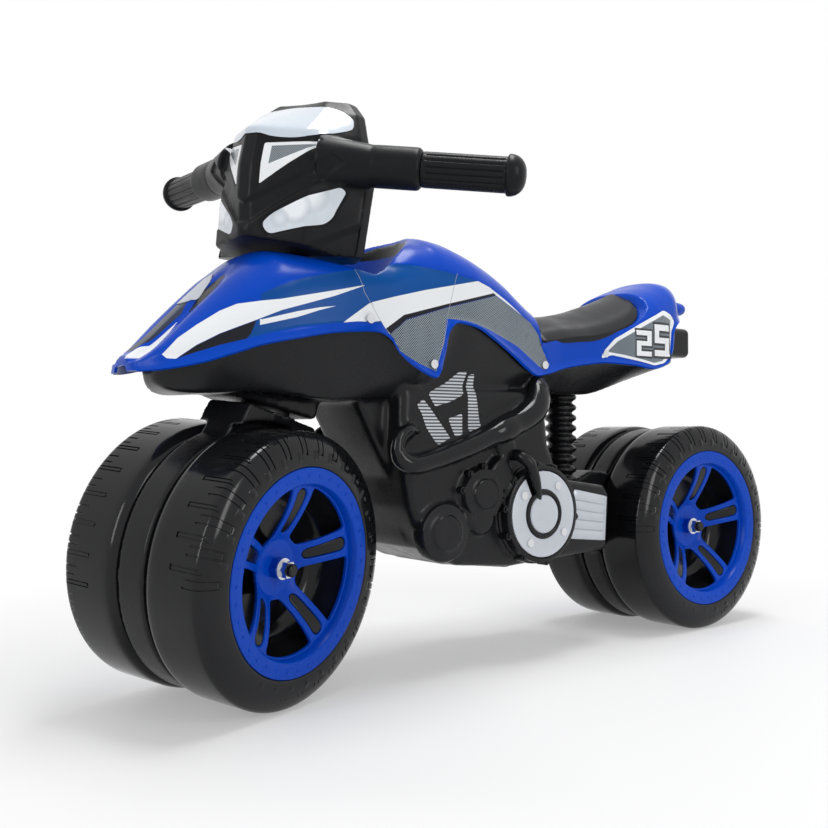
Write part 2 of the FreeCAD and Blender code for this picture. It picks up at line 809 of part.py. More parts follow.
def screw(x, y, z, side):
    """A round-headed screw driven in from the side."""
    head = rod_y(screw_head_radius, y, y + screw_head_height, x, z)
    shank = rod_y(screw_shank_radius, y - screw_length, y, x, z)
    return sided(fuse([head, shank]), side)


def cover_width(x):
    """Half width of the cover at a place along the bike, between its sections."""
    for row, following in zip(stations, stations[1:]):
        if following[0] <= x <= row[0]:
            share = (x - following[0]) / (row[0] - following[0])
            return following[1] + share * (row[1] - following[1])
    return stations[-1][1]


def engine_ring(side):
    x, z = engine_centre
    y = engine_half + ring_boss_height
    ring = rod_y(ring_outer_radius, y, y + ring_plate_thickness, x, z)
    ring = ring.cut(rod_y(ring_inner_radius, y - 1, y + 10, x, z))
    return sided(ring, side)


def engine_cap(side):
    x, z = engine_centre
    y = engine_half + ring_boss_height
    cap = rod_y(cap_plate_radius, y, y + ring_plate_thickness + 1.5, x, z)
    cap = cap.makeFillet(1.2, [e for e in round_edges(cap) if e.Vertexes[0].Y > y + 1])
    return sided(cap, side)


def engine_screws(side):
    x, z = engine_centre
    radius = (ring_outer_radius + ring_inner_radius) / 2
    y = engine_half + ring_boss_height + ring_plate_thickness
    screws = []
    for angle in (35, 125, 215, 305):
        a = math.radians(angle)
        screws.append(screw(x + radius * math.cos(a), y, z + radius * math.sin(a), side))
    return screws


def ribbed_plate(side):
    plate = side_prism(ribbed_outline, ribbed_half, ribbed_half + ribbed_plate_thickness)
    x0 = (ribbed_outline[0][0] + ribbed_outline[3][0]) / 2
    x1 = (ribbed_outline[1][0] + ribbed_outline[2][0]) / 2
    ribs = []
    for k in range(ribbed_rib_count):
        z = ribbed_outline[2][1] + 14 + 10 * k
        ribs.append(Part.makeBox(x0 - x1 - 12, ribbed_plate_thickness + 1.5, 4, V(x1 + 6, ribbed_half, z)))
    return sided(fuse([plate] + ribs), side)


def fin_plate(side):
    bars = [side_prism(points, engine_half, engine_half + plate_thickness) for points in fin_bars]
    return [sided(bar, side) for bar in bars]


def make_lamp():
    """The rounded lamp block at the tail."""
    x = stations[-2][0]
    corner = V(x - lamp_length, -lamp_half, lamp_bottom)
    block = Part.makeBox(lamp_length, 2 * lamp_half, lamp_height, corner)
    return block.makeFillet(7.0, [e for e in block.Edges if min(v.X for v in e.Vertexes) < x - 1])


def export(name, shapes):
    """Write one node, raised to its height above the floor."""
    solids = []
    for shape in shapes:
        solids += [s for s in shape.Solids if s.Volume > 0.5]
    whole = Part.makeCompound([up(s) for s in solids]) if len(solids) > 1 else up(solids[0])
    whole.exportStep("parts/" + name + ".step")
    box = whole.BoundBox
    print("%-24s %2d solids %9.0f mm3 valid %s x %.0f..%.0f y %.0f..%.0f z %.0f..%.0f" % (
        name, len(solids), sum(s.Volume for s in solids), whole.isValid(),
        box.XMin, box.XMax, box.YMin, box.YMax, box.ZMin, box.ZMax))


def main():
    os.makedirs("parts", exist_ok=True)
    sides = (("left", 1), ("right", -1))

    cover, outer, spine, around = make_skins()
    body = largest(make_body(spine, around))
    screws = []
    for _, side in sides:
        screws += [screw(x, cover_width(x) - 0.5, z, side) for x, z in cover_screws]
    drill = Part.makeCompound(screws)
    export("frame_body", [largest(body.cut(drill))])
    export("cover", [largest(cover.cut(drill))])
    export("cover_screws", screws)
    export("engine_screws", engine_screws(1) + engine_screws(-1))
    export("seat", [seat_shape(0)])
    export("rear_shock_boot", [make_shock().cut(body)])
    export("tail_lamp", [make_lamp()])
    export("steering_bush_lower", [bush(head_bottom, True)])
    export("steering_bush_upper", [bush(upper_bush_start(), False)])

    export("rear_axle", [make_axle()])
    export("rear_washers", [sided(make_washer(), s) for _, s in sides])
    export("rear_nuts", [sided(make_nut(), s) for _, s in sides])
    export("rear_caps", [sided(make_cap(), s) for _, s in sides])

    grown = cut(skin(-plate_thickness, 120, stations), [well_shape(0), seat_shape(seat_clearance)])
    badge_ring = Part.makeCylinder(badge_half, 200, V(badge_place, 0, 100))
    export("nose_badge", [grown.cut(outer).common(badge_ring)])
    for name, side in sides:
        plate = side_patch(number_panel, outer, grown, side)
        export("number_plate_" + name, [plate.cut(drill)])
        export("engine_ring_" + name, [engine_ring(side).cut(Part.makeCompound(engine_screws(side)))])
        export("engine_cap_" + name, [engine_cap(side)])
        export("ribbed_plate_" + name, [ribbed_plate(side)])
        export("fin_plate_" + name, [bar.cut(body) for bar in fin_plate(side)])

    handlebar = make_handlebar()
    export("handlebar", [turned(handlebar)])
    export("fork", [turned(make_fork())])
    export("steering_tube", [turned(axis_rod(tube_radius, stem_bottom, stem_top))])
    export("screen_panel", [turned(front_patch(screen_panel, handlebar))])
    export("race_plate", [turned(front_patch(race_panel, handlebar))])
    for name, side in sides:
        export("headlamp_" + name, [turned(front_patch(headlamp_panel, handlebar, side))])
        export("grip_" + name, [turned(make_grip(side))])
    export("front_axle", [turned(make_axle())])
    export("front_washers", [turned(sided(make_washer(), s)) for _, s in sides])
    export("front_nuts", [turned(sided(make_nut(), s)) for _, s in sides])
    export("front_caps", [turned(sided(make_cap(), s)) for _, s in sides])

    tyre = make_tyre()
    rim = make_rim()
    hub = make_hub()
    for end, place in (("front", turned), ("rear", lambda s: s)):
        for name, side in sides:
            export("wheel_%s_%s" % (end, name), [place(swung(tyre, side))])
            export("rim_%s_%s" % (end, name), [place(swung(rim, side))])
            export("hub_%s_%s" % (end, name), [place(swung(hub, side))])


main()
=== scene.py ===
import math

import bmesh
import bpy
import numpy as np
from mathutils import Matrix, Vector


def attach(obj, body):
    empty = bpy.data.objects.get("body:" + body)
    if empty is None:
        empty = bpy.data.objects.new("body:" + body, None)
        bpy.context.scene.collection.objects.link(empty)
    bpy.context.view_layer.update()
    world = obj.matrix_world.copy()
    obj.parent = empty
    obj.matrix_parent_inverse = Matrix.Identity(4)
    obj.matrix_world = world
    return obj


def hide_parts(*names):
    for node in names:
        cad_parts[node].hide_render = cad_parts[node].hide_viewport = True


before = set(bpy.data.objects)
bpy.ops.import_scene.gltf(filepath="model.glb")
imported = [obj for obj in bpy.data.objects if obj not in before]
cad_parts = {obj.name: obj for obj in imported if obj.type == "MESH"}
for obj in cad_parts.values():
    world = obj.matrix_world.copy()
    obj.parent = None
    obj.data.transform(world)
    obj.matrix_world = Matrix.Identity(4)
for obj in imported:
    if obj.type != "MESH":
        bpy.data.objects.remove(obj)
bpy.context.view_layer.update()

# Child's ride-on motorbike.  Pieces are shaped in millimetres, with heights above the axle line,
# and are then carried to their place in metres.  +X is forward and +Y is the rider's left.

# Layout
wheelbase = 560.0
wheel_radius = 115.0
rake = 14.3                    # lean of the steering axis, degrees
steer_rest = 20.3              # how far the steering is turned to the left, degrees
rest_pitch = 0.57281           # how far the bike is nosed up on its turned front wheels, degrees

# Camera, before the bike's nose is raised: place, the direction that points back from the view
camera_place = (968.3, 781.5, 107.8)
camera_back = (0.6133, 0.7897, -0.01815)
camera_lens = 43.92

# Wheels: distances along the axle are from the wheel's inner side towards its rim
tread_start = 15.7
inner_round = 9.0
tread_edge = 68.0
rim_plane = 80.0
rim_radius = 86.5
tread_units = 30
groove_depth = 1.0
groove_wall = 0.25
lug_height = 0.8
lug_span = (16.9, 22.7)        # from and to, round the tyre in one tread unit
lug_run = (63.0, 69.5)         # from and to, across the tyre
bore_radius = 12.2
# The dish behind the rim as (radius, distance along the axle)
dish_rows = [
    (88.2, 80.0), (87.2, 79.6), (86.9, 79.0), (86.9, 76.6), (86.0, 76.4), (74, 76.4), (73.2, 75.6),
    (73.0, 70), (71.5, 62), (68, 50), (64.5, 41.5), (60, 37.4), (52, 36), (30, 36), (bore_radius, 36),
]
# Grooves of one tread unit: start and end round the tyre, start and end of the run across it
tread_grooves = [
    (0.7, 1.7, 33.3, 67.0), (7.3, 8.3, 36.0, 67.0), (0.7, 8.3, 65.6, 67.0),
    (12.4, 13.4, 19.3, 50.0), (15.6, 16.6, 19.3, 46.0), (12.4, 16.6, 19.3, 20.4),
]
spoke_count = 5
spoke_start = 21.0
spoke_half = 2.2               # half the thickness of the spoke plate
spoke_rim = 72.0               # radius of the spoke plate
# Openings as (inner radius, outer radius, half width at the inner end, half width at the outer end)
slot_size = (29.5, 68.5, 4.6, 6.2)
gap_size = (27.5, 70.0, 10.5, 13.5)
strip_size = (30.0, 68.0, 4.1, 5.7)
# The hexagonal boss as (half width across flats, distance along the axle)
boss_section = [(7.9, 46), (7.9, 56.2), (7.2, 57)]
# Turned sections of the rim as (radius, distance along the axle)
ring_section = [
    (86.1, 77.0), (86.5, 77.4), (86.5, 79.5), (86.0, 80.0), (74.4, 80.0), (73.4, 79.7), (72.7, 78.9),
    (71.6, 74.0), (70.6, 70.2), (71.0, 69.2), (72.4, 69.2), (72.9, 70.0), (72.9, 77.0),
]
rivet_section = [(1.7, 79.6), (1.6, 80.2), (1.1, 80.65), (0.0, 80.8)]
rivet_count = 36
rivet_reach = 79.8

steering_axis = Vector((-math.sin(math.radians(rake)), 0.0, math.cos(math.radians(rake))))
to_frame = (Matrix.Scale(0.001, 4) @ Matrix.Translation((0, 0, wheel_radius))
            @ Matrix.Rotation(-math.radians(rest_pitch), 4, "Y"))
to_steering = (to_frame @ Matrix.Translation((wheelbase, 0, 0))
               @ Matrix.Rotation(math.radians(steer_rest), 4, steering_axis))
half_turn = Matrix.Rotation(math.pi, 4, "Z")
mirror = Matrix.Diagonal((1, -1, 1, 1))
both_sides = (("left", Matrix.Identity(4)), ("right", mirror))


# Working with pieces
def clear_selection():
    """Deselect every object."""
    bpy.ops.object.select_all(action="DESELECT")


def work_on(piece):
    """Make one piece the only selected and the active object."""
    clear_selection()
    piece.select_set(True)
    bpy.context.view_layer.objects.active = piece


def apply_all(piece):
    """Apply every modifier of a piece."""
    work_on(piece)
    for modifier in list(piece.modifiers):
        bpy.ops.object.modifier_apply(modifier=modifier.name)


def added_ring(name, points):
    """A circle whose corners are moved to the points given, left in edit mode."""
    clear_selection()
    bpy.ops.mesh.primitive_circle_add(vertices=len(points))
    piece = bpy.context.object
    piece.name = name
    piece.data.name = name
    for vertex, point in zip(piece.data.vertices, points):
        vertex.co = point
    bpy.ops.object.mode_set(mode="EDIT")
    return piece


def tidy_faces():
    """Merge what coincides and turn every face outwards, then leave edit mode."""
    bpy.ops.mesh.select_all(action="SELECT")
    bpy.ops.mesh.remove_doubles(threshold=0.001)
    bpy.ops.mesh.normals_make_consistent(inside=False)
    bpy.ops.object.mode_set(mode="OBJECT")


def face_outwards(piece):
    """Turn every face of a closed or open shell outwards."""
    work_on(piece)
    bpy.ops.object.mode_set(mode="EDIT")
    bpy.ops.mesh.select_all(action="SELECT")
    bpy.ops.mesh.normals_make_consistent(inside=False)
    bpy.ops.object.mode_set(mode="OBJECT")


def drawn_out(name, rings, capped=True):
    """A closed section that is extruded through the places given, one ring after another."""
    piece = added_ring(name, rings[0])
    mesh = bmesh.from_edit_mesh(piece.data)
    order = mesh.verts.layers.int.new("order")
    row = mesh.verts.layers.int.new("row")
    for number, vertex in enumerate(mesh.verts):
        vertex[order] = number
    bmesh.update_edit_mesh(piece.data)
    bpy.ops.mesh.select_all(action="SELECT")
    for count, ring in enumerate(rings[1:], 1):
        bpy.ops.mesh.extrude_edges_move()
        mesh = bmesh.from_edit_mesh(piece.data)
        order = mesh.verts.layers.int["order"]
        row = mesh.verts.layers.int["row"]
        for vertex in mesh.verts:
            if vertex.select:
                vertex.co = ring[vertex[order]]
                vertex[row] = count
        bmesh.update_edit_mesh(piece.data)
    if capped:
        bpy.ops.mesh.edge_face_add()
        bpy.ops.mesh.select_all(action="DESELECT")
        mesh = bmesh.from_edit_mesh(piece.data)
        row = mesh.verts.layers.int["row"]
        for vertex in mesh.verts:
            vertex.select_set(vertex[row] == 0)
        mesh.select_flush(True)
        bpy.ops.mesh.edge_face_add()
    tidy_faces()
    for layer in ("order", "row"):
        piece.data.attributes.remove(piece.data.attributes[layer])
    return piece


def spun(name, profile, steps, closed=True):
    """An outline of (radius, distance along the axle) spun about the Y axis."""
    piece = added_ring(name, [(r, y, 0) for r, y in profile])
    if not closed:
        bpy.ops.mesh.select_all(action="DESELECT")
        mesh = bmesh.from_edit_mesh(piece.data)
        mesh.verts.ensure_lookup_table()
        mesh.verts[0].select_set(True)
        mesh.verts[-1].select_set(True)
        mesh.select_flush(True)
        bpy.ops.mesh.delete(type="EDGE_FACE")
    bpy.ops.mesh.select_all(action="SELECT")
    bpy.ops.mesh.spin(steps=steps, angle=2 * math.pi, center=(0, 0, 0), axis=(0, 1, 0), use_auto_merge=True)
    tidy_faces()
    return piece


def flat_curve(name, outlines, fill):
    """A filled flat curve with one closed run of straight lines for each outline."""
    curve = bpy.data.curves.new(name, "CURVE")
    curve.dimensions = "2D"
    curve.fill_mode = fill
    for outline in outlines:
        spline = curve.splines.new("POLY")
        spline.points.add(len(outline) - 1)
        for point, (a, b) in zip(spline.points, outline):
            point.co = (a, b, 0, 1)
        spline.use_cyclic_u = True
    return curve


def made_mesh(name, curve):
    """The mesh of a curve."""
    piece = bpy.data.objects.new(name, curve)
    bpy.context.scene.collection.objects.link(piece)
    work_on(piece)
    bpy.ops.object.convert(target="MESH")
    return bpy.context.object


def cut_plate(name, outlines, half_thickness, bevel):
    """A flat plate lying in X and Z with rounded edges, from its outer outline and its openings."""
    curve = flat_curve(name, outlines, "BOTH")
    curve.extrude = half_thickness - bevel
    curve.bevel_depth = bevel
    curve.bevel_resolution = 2
    curve.offset = -bevel
    piece = made_mesh(name, curve)
    piece.data.transform(Matrix.Rotation(math.radians(90), 4, "X"))
    return piece


def remeshed(piece, voxel, smoothing=0):
    """Merge the mesh, make it an even skin and smooth it."""
    work_on(piece)
    bpy.ops.object.mode_set(mode="EDIT")
    bpy.ops.mesh.select_all(action="SELECT")
    bpy.ops.mesh.remove_doubles(threshold=voxel * 0.001)
    bpy.ops.object.mode_set(mode="OBJECT")
    remesh = piece.modifiers.new("remesh", "REMESH")
    remesh.mode = "VOXEL"
    remesh.voxel_size = voxel
    if smoothing:
        smooth = piece.modifiers.new("smooth", "SMOOTH")
        smooth.factor = 0.5
        smooth.iterations = smoothing
    apply_all(piece)
    return piece


def corners(piece):
    """The mesh's vertex places as an array, to be changed and put back."""
    places = np.empty(len(piece.data.vertices) * 3)
    piece.data.vertices.foreach_get("co", places)
    return places.reshape(-1, 3)


def put_corners(piece, places):
    """Move the mesh's vertices to the places given."""
    piece.data.vertices.foreach_set("co", np.ascontiguousarray(places, dtype=np.float64).ravel())
    piece.data.update()


def joined(name, pieces):
    """Several pieces made one object."""
    clear_selection()
    for piece in pieces:
        piece.select_set(True)
    bpy.context.view_layer.objects.active = pieces[0]
    bpy.ops.object.join()
    pieces[0].name = name
    pieces[0].data.name = name
    return pieces[0]


def copy_of(piece, name):
    """A copy of a piece with its own mesh."""
    other = piece.copy()
    other.data = piece.data.copy()
    other.name = name
    other.data.name = name
    bpy.context.scene.collection.objects.link(other)
    return other


def carried(piece, place):
    """Put a piece that was shaped in millimetres into its place, facing outwards."""
    piece.data.transform(place)
    if place.determinant() < 0:
        piece.data.flip_normals()
    return piece


def smooth_shaded(piece, angle=40.0):
    """Shade smooth, but keep edges sharper than the angle crisp."""
    work_on(piece)
    bpy.ops.object.shade_smooth_by_angle(angle=math.radians(angle))
    apply_all(piece)
    return piece


def finished(piece, body, slot, material, *nodes):
    """Give a piece its body and its material, and hide the nodes it stands for; the slot is not used."""
    piece.data.materials.clear()
    piece.data.materials.append(material)
    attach(piece, body)
    if nodes:
        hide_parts(*nodes)
    return piece


def cad_copy(node):
    """A copy of a CAD node's mesh, as a new piece."""
    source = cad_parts[node]
    piece = bpy.data.objects.new(node + "_form", source.data.copy())
    bpy.context.scene.collection.objects.link(piece)
    return piece


# Outlines and curves
def rounded(points, radius, steps=5):
    """A closed outline with its corners rounded."""
    result = []
    count = len(points)
    for k in range(count):
        before = Vector(points[k - 1])
        corner = Vector(points[k])
        after = Vector(points[(k + 1) % count])
        reach = min(radius, (before - corner).length * 0.45, (after - corner).length * 0.45)
        start = corner + (before - corner).normalized() * reach
        end = corner + (after - corner).normalized() * reach
        for step in range(steps + 1):
            t = step / steps
            result.append(tuple(start * (1 - t) ** 2 + corner * 2 * t * (1 - t) + end * t ** 2))
    return result


def eased(x, low, high):
    """0 below low, 1 above high, and a smooth rise between them."""
    t = np.clip((x - low) / (high - low), 0.0, 1.0)
    return t * t * (3 - 2 * t)


def curve_through(x, places, values):
    """A smooth curve through the values at the places, without overshoot."""
    order = np.argsort(places)
    xs = np.asarray(places, float)[order]
    ys = np.asarray(values, float)[order]
    slopes = np.diff(ys) / np.diff(xs)
    product = slopes[:-1] * slopes[1:]
    middle = np.where(product > 0, 2 * product / (slopes[:-1] + slopes[1:] + 1e-12), 0)
    tangents = np.concatenate([slopes[:1], middle, slopes[-1:]])
    x = np.clip(x, xs[0], xs[-1])
    k = np.clip(np.searchsorted(xs, x) - 1, 0, len(xs) - 2)
    width = xs[k + 1] - xs[k]
    t = (x - xs[k]) / width
    return ((2 * t ** 3 - 3 * t ** 2 + 1) * ys[k] + (t ** 3 - 2 * t ** 2 + t) * width * tangents[k]
            + (-2 * t ** 3 + 3 * t ** 2) * ys[k + 1] + (t ** 3 - t ** 2) * width * tangents[k + 1])


def depth_in(outline, a, b):
    """How far inside a closed outline each point (a, b) lies; negative outside."""
    distance = np.full(a.shape, 1e9)
    inside = np.zeros(a.shape, bool)
    for (x0, z0), (x1, z1) in zip(outline, outline[1:] + outline[:1]):
        ex, ez = x1 - x0, z1 - z0
        t = np.clip(((a - x0) * ex + (b - z0) * ez) / (ex * ex + ez * ez), 0, 1)
        distance = np.minimum(distance, np.hypot(a - x0 - t * ex, b - z0 - t * ez))
        crosses = ((z0 > b) != (z1 > b)) & (a < ex * (b - z0) / (ez if abs(ez) > 1e-9 else 1e-9) + x0)
        inside ^= crosses
    return np.where(inside, distance, -distance)


# Building materials
def node(tree, kind, settings=None, **inputs):
    """Add a shader node; inputs are given by name, or by place as i0, i1 and so on."""
    made = tree.nodes.new(kind)
    for key, value in (settings or {}).items():
        setattr(made, key, value)
    for key, value in inputs.items():
        place = int(key[1:]) if key[0] == "i" and key[1:].isdigit() else key.replace("_", " ")
        socket = made.inputs[place]
        if isinstance(value, bpy.types.NodeSocket):
            tree.links.new(value, socket)
        else:
            socket.default_value = value
    return made


def calc(tree, operation, first, second=0.0, third=0.0):
    """One step of arithmetic."""
    return node(tree, "ShaderNodeMath", {"operation": operation}, i0=first, i1=second, i2=third).outputs[0]


def mixed(tree, share, first, second):
    """A colour between two colours."""
    made = node(tree, "ShaderNodeMix", {"data_type": "RGBA"}, i0=share, i6=first, i7=second)
    return made.outputs[2]


def noise(tree, place, scale, detail):
    """Soft clouds or a fine grain, by scale."""
    return node(tree, "ShaderNodeTexNoise", None, Vector=place, Scale=scale, Detail=detail).outputs[0]


def place_of(tree):
    """The place on the piece, in metres."""
    return node(tree, "ShaderNodeTexCoord").outputs["Object"]


def ramp(tree, value, low, high, first=0.0, last=1.0):
    """A share that goes from a first to a last value as the value given goes from low to high."""
    made = node(tree, "ShaderNodeMapRange", None, i0=value, i1=low, i2=high, i3=first, i4=last)
    return made.outputs[0]


def local_place(tree, frame_matrix):
    """Millimetre coordinates in the bike's or the steering's own frame."""
    back = frame_matrix.inverted()
    turned = node(tree, "ShaderNodeMapping", None, Vector=place_of(tree), Location=tuple(back.translation),
                  Rotation=tuple(back.to_3x3().normalized().to_euler()), Scale=(1000.0, 1000.0, 1000.0))
    return node(tree, "ShaderNodeSeparateXYZ", None, i0=turned.outputs[0]).outputs


def line_height(tree, share, points, ends, levels):
    """The height of a line of straight runs over a place along it."""
    made = node(tree, "ShaderNodeFloatCurve", None, Value=share)
    curve = made.mapping.curves[0]
    reach = ends[1] - ends[0]
    rise = levels[1] - levels[0]
    spots = [((a - ends[0]) / reach, (b - levels[0]) / rise) for a, b in points]
    if spots[0][0] > spots[-1][0]:
        spots.reverse()
    if spots[0][0] > 0.001:
        spots.insert(0, (0.0, spots[0][1]))
    if spots[-1][0] < 0.999:
        spots.append((1.0, spots[-1][1]))
    for _ in range(len(spots) - 2):
        curve.points.new(0.5, 0.5)
    for point, spot in zip(curve.points, spots):
        point.location = spot
        point.handle_type = "VECTOR"
    made.mapping.update()
    return calc(tree, "MULTIPLY_ADD", made.outputs[0], rise, levels[0])


def band(tree, across, height, upper, lower, soft=0.3):
    """1 between an upper and a lower line, each given as points from end to end."""
    every = upper + lower
    ends = (min(a for a, _ in every), max(a for a, _ in every))
    levels = (min(b for _, b in every) - 1.0, max(b for _, b in every) + 1.0)
    share = ramp(tree, across, ends[0], ends[1])
    over = calc(tree, "SUBTRACT", line_height(tree, share, upper, ends, levels), height)
    under = calc(tree, "SUBTRACT", height, line_height(tree, share, lower, ends, levels))
    near = calc(tree, "SUBTRACT", across, ends[0])
    far = calc(tree, "SUBTRACT", ends[1], across)
    least = calc(tree, "MINIMUM", calc(tree, "MINIMUM", over, under), calc(tree, "MINIMUM", near, far))
    return ramp(tree, least, 0.0, soft)


def either(tree, *shares):
    """The largest of several shares."""
    total = shares[0]
    for share in shares[1:]:
        total = calc(tree, "MAXIMUM", total, share)
    return total


def surface(name, **values):
    """A material with its principled shader and its coordinates."""
    material = bpy.data.materials.new(name)
    material.use_nodes = True
    tree = material.node_tree
    shader = tree.nodes["Principled BSDF"]
    for key, value in values.items():
        shader.inputs[key.replace("_", " ")].default_value = value
    return material, tree, shader


def grained(tree, shader, place, colour, roughness, grain=900.0, depth=0.00003, wear=0.25):
    """Moulded plastic: a faint uneven tone, a fine grain and patches of different gloss."""
    cloud = noise(tree, place, 9.0, 4.0)
    fine = noise(tree, place, grain, 3.0)
    ripple = noise(tree, place, 55.0, 2.0)
    tone = ramp(tree, cloud, 0.3, 0.7, 1.0 - wear, 1.0 + wear)
    shade = node(tree, "ShaderNodeVectorMath", {"operation": "SCALE"}, i0=colour, Scale=tone)
    tree.links.new(shade.outputs[0], shader.inputs["Base Color"])
    gloss = ramp(tree, ripple, 0.3, 0.7, roughness * 0.85, roughness * 1.2)
    tree.links.new(gloss, shader.inputs["Roughness"])
    height = calc(tree, "ADD", fine, calc(tree, "MULTIPLY", ripple, 3.0))
    bump = node(tree, "ShaderNodeBump", None, Strength=0.35, Distance=depth, Height=height)
    tree.links.new(bump.outputs[0], shader.inputs["Normal"])


def plain_plastic(name, colour, roughness, grain=900.0, depth=0.00003, wear=0.12, **values):
    """Moulded plastic in one colour."""
    material, tree, shader = surface(name, **values)
    grained(tree, shader, place_of(tree), colour, roughness, grain, depth, wear)
    return material


blue = (0.0005, 0.055, 0.46)
deep_blue = (0.002, 0.062, 0.27)
white = (0.80, 0.82, 0.84)
black = (0.0075, 0.0078, 0.009)


def brushed_silver():
    """Printed silver: pale, satin, with a faint sheen of fine lines."""
    material, tree, shader = surface("silver_print", Metallic=0.35, Roughness=0.38)
    place = place_of(tree)
    stretched = node(tree, "ShaderNodeMapping", None, Vector=place, Scale=(40.0, 1.0, 900.0)).outputs[0]
    lines = noise(tree, stretched, 2.0, 3.0)
    cloud = noise(tree, place, 14.0, 2.0)
    tone = calc(tree, "ADD", calc(tree, "MULTIPLY", lines, 0.5), calc(tree, "MULTIPLY", cloud, 0.5))
    colour = mixed(tree, tone, (0.40, 0.43, 0.48, 1), (0.64, 0.67, 0.72, 1))
    tree.links.new(colour, shader.inputs["Base Color"])
    bump = node(tree, "ShaderNodeBump", None, Strength=0.2, Distance=0.00002, Height=lines)
    tree.links.new(bump.outputs[0], shader.inputs["Normal"])
    return material


def steel(name, colour, roughness):
    """Plated steel with fine turning marks."""
    material, tree, shader = surface(name, Metallic=1.0)
    place = place_of(tree)
    marks = noise(tree, place, 1400.0, 4.0)
    cloud = noise(tree, place, 120.0, 2.0)
    tint = mixed(tree, cloud, tuple(c * 0.8 for c in colour) + (1,), colour + (1,))
    tree.links.new(tint, shader.inputs["Base Color"])
    gloss = ramp(tree, marks, 0.3, 0.7, roughness * 0.7, roughness * 1.3)
    tree.links.new(gloss, shader.inputs["Roughness"])
    bump = node(tree, "ShaderNodeBump", None, Strength=0.15, Distance=0.00002, Height=marks)
    tree.links.new(bump.outputs[0], shader.inputs["Normal"])
    return material


def hole_field(tree, across, height, pitch):
    """A pale grey field of small dark holes in slanting rows."""
    rise = math.pi / pitch
    first = calc(tree, "SINE", calc(tree, "MULTIPLY", calc(tree, "ADD", across, height), rise))
    second = calc(tree, "SINE", calc(tree, "MULTIPLY", calc(tree, "SUBTRACT", across, height), rise))
    hole = ramp(tree, calc(tree, "ABSOLUTE", calc(tree, "MULTIPLY", first, second)), 0.28, 0.5)
    cloud = noise(tree, place_of(tree), 14.0, 1.0)
    pale = mixed(tree, cloud, (0.20, 0.25, 0.29, 1), (0.38, 0.43, 0.46, 1))
    return mixed(tree, hole, pale, (0.012, 0.018, 0.03, 1))


# Prints on the cover's sides as (place, height) lines from front to back
panel_lines = (
    [(581.5, 182.2), (573.4, 197.7), (569.5, 206.2), (568.2, 219.5), (553, 227), (534.7, 234.1),
     (513.5, 239.7), (481.8, 246.6), (441.2, 254.7), (427.7, 254.9), (389.8, 251.2), (352.3, 247.1)],
    [(581.5, 182.2), (566.1, 187), (537.4, 193.9), (506.9, 198.3), (485.4, 200.9), (463, 200.6),
     (449.2, 223.5), (425, 229), (389, 238), (352.3, 246.5)],
)
stripe_lines = (
    [(640.9, 168.7), (629.3, 182), (615.8, 192.9), (599.1, 204.5), (586.7, 210.5), (568.1, 213.8), (553, 216),
     (506.8, 226), (478, 232.6)],
    [(640.9, 168.7), (638.1, 165.5), (632.2, 165.1), (618, 176.2), (601.3, 185.7), (587.5, 191.7),
     (573.4, 197.7), (553, 206.5), (506.8, 221.0), (478, 232)],
)
second_stripe_lines = (
    [(569, 198.5), (540, 206.5), (520, 211), (506, 213)],
    [(571, 193.5), (540, 201.5), (520, 208.5), (506, 212.6)],
)
wedge_lines = (
    [(632.2, 165.1), (618, 176.2), (601.3, 185.7), (587.5, 191.7), (573.4, 197.7)],
    [(632.2, 165), (618.1, 170.7), (601.4, 176.6), (581.5, 182.2), (578, 186.5), (573.4, 197.5)],
)
corner_lines = (
    [(499.5, 199.3), (474.4, 217.2), (471.7, 218), (461.8, 203.1)],
    [(499.5, 199.2), (485.4, 201), (470, 201.5), (461.8, 203)],
)
white_band_lines = (
    [(471.7, 218.4), (449.2, 224.8), (416.7, 233.1), (352.3, 247.3), (335.2, 243.5), (307.1, 232.2),
     (256.6, 208.3)],
    [(471.7, 218.3), (460.2, 199.1), (455, 191.5), (439.2, 207.7), (391, 221), (325.1, 236.7), (270.5, 215.8),
     (256.6, 208.2)],
)
dark_line_lines = (
    [(458.3, 196.3), (439.2, 209.7), (391, 223), (328.5, 238.7), (325, 236.7)],
    [(458.3, 196.2), (453.9, 191.5), (436.3, 205.6), (391, 219.8), (325, 236.5)],
)
front_field_lines = (
    [(453.9, 191.7), (436.3, 205.6), (391.2, 219.8)],
    [(453.9, 191.5), (444.7, 177.1), (424.6, 168.1), (405.8, 161.7), (397.9, 185.5), (391.2, 219.7)],
)
rear_field_lines = (
    [(394.5, 209.5), (391, 219.8), (325.1, 236.5), (270.5, 215.8), (256.6, 206.0), (248, 190),
     (237.2, 175.1)],
    [(394.5, 209.4), (369.3, 208.5), (335.8, 203), (292.5, 190.5), (247.6, 169.9), (237.2, 175)],
)
seam_runs = (
    [(246.5, 482.9), (226.2, 478.7), (211.4, 468.7), (199.1, 460.2), (191.5, 455)],
    [(251.7, 378.8), (237.9, 384.1), (213.6, 391), (185.5, 397.9), (161.7, 405.8)],
)
nose_panel_lines = ([(652, 6), (640, 11), (612, 12.5), (605, 9)], [(652, -1), (605, -1)])
nose_stripe_lines = (
    [(661.5, 9), (654, 18.5), (640, 20), (625, 17.5), (617, 14.5)],
    [(661.5, 8.5), (655, 5), (652, 8), (640, 12.4), (617, 14)],
)
dark_print = (0.012, 0.013, 0.018)


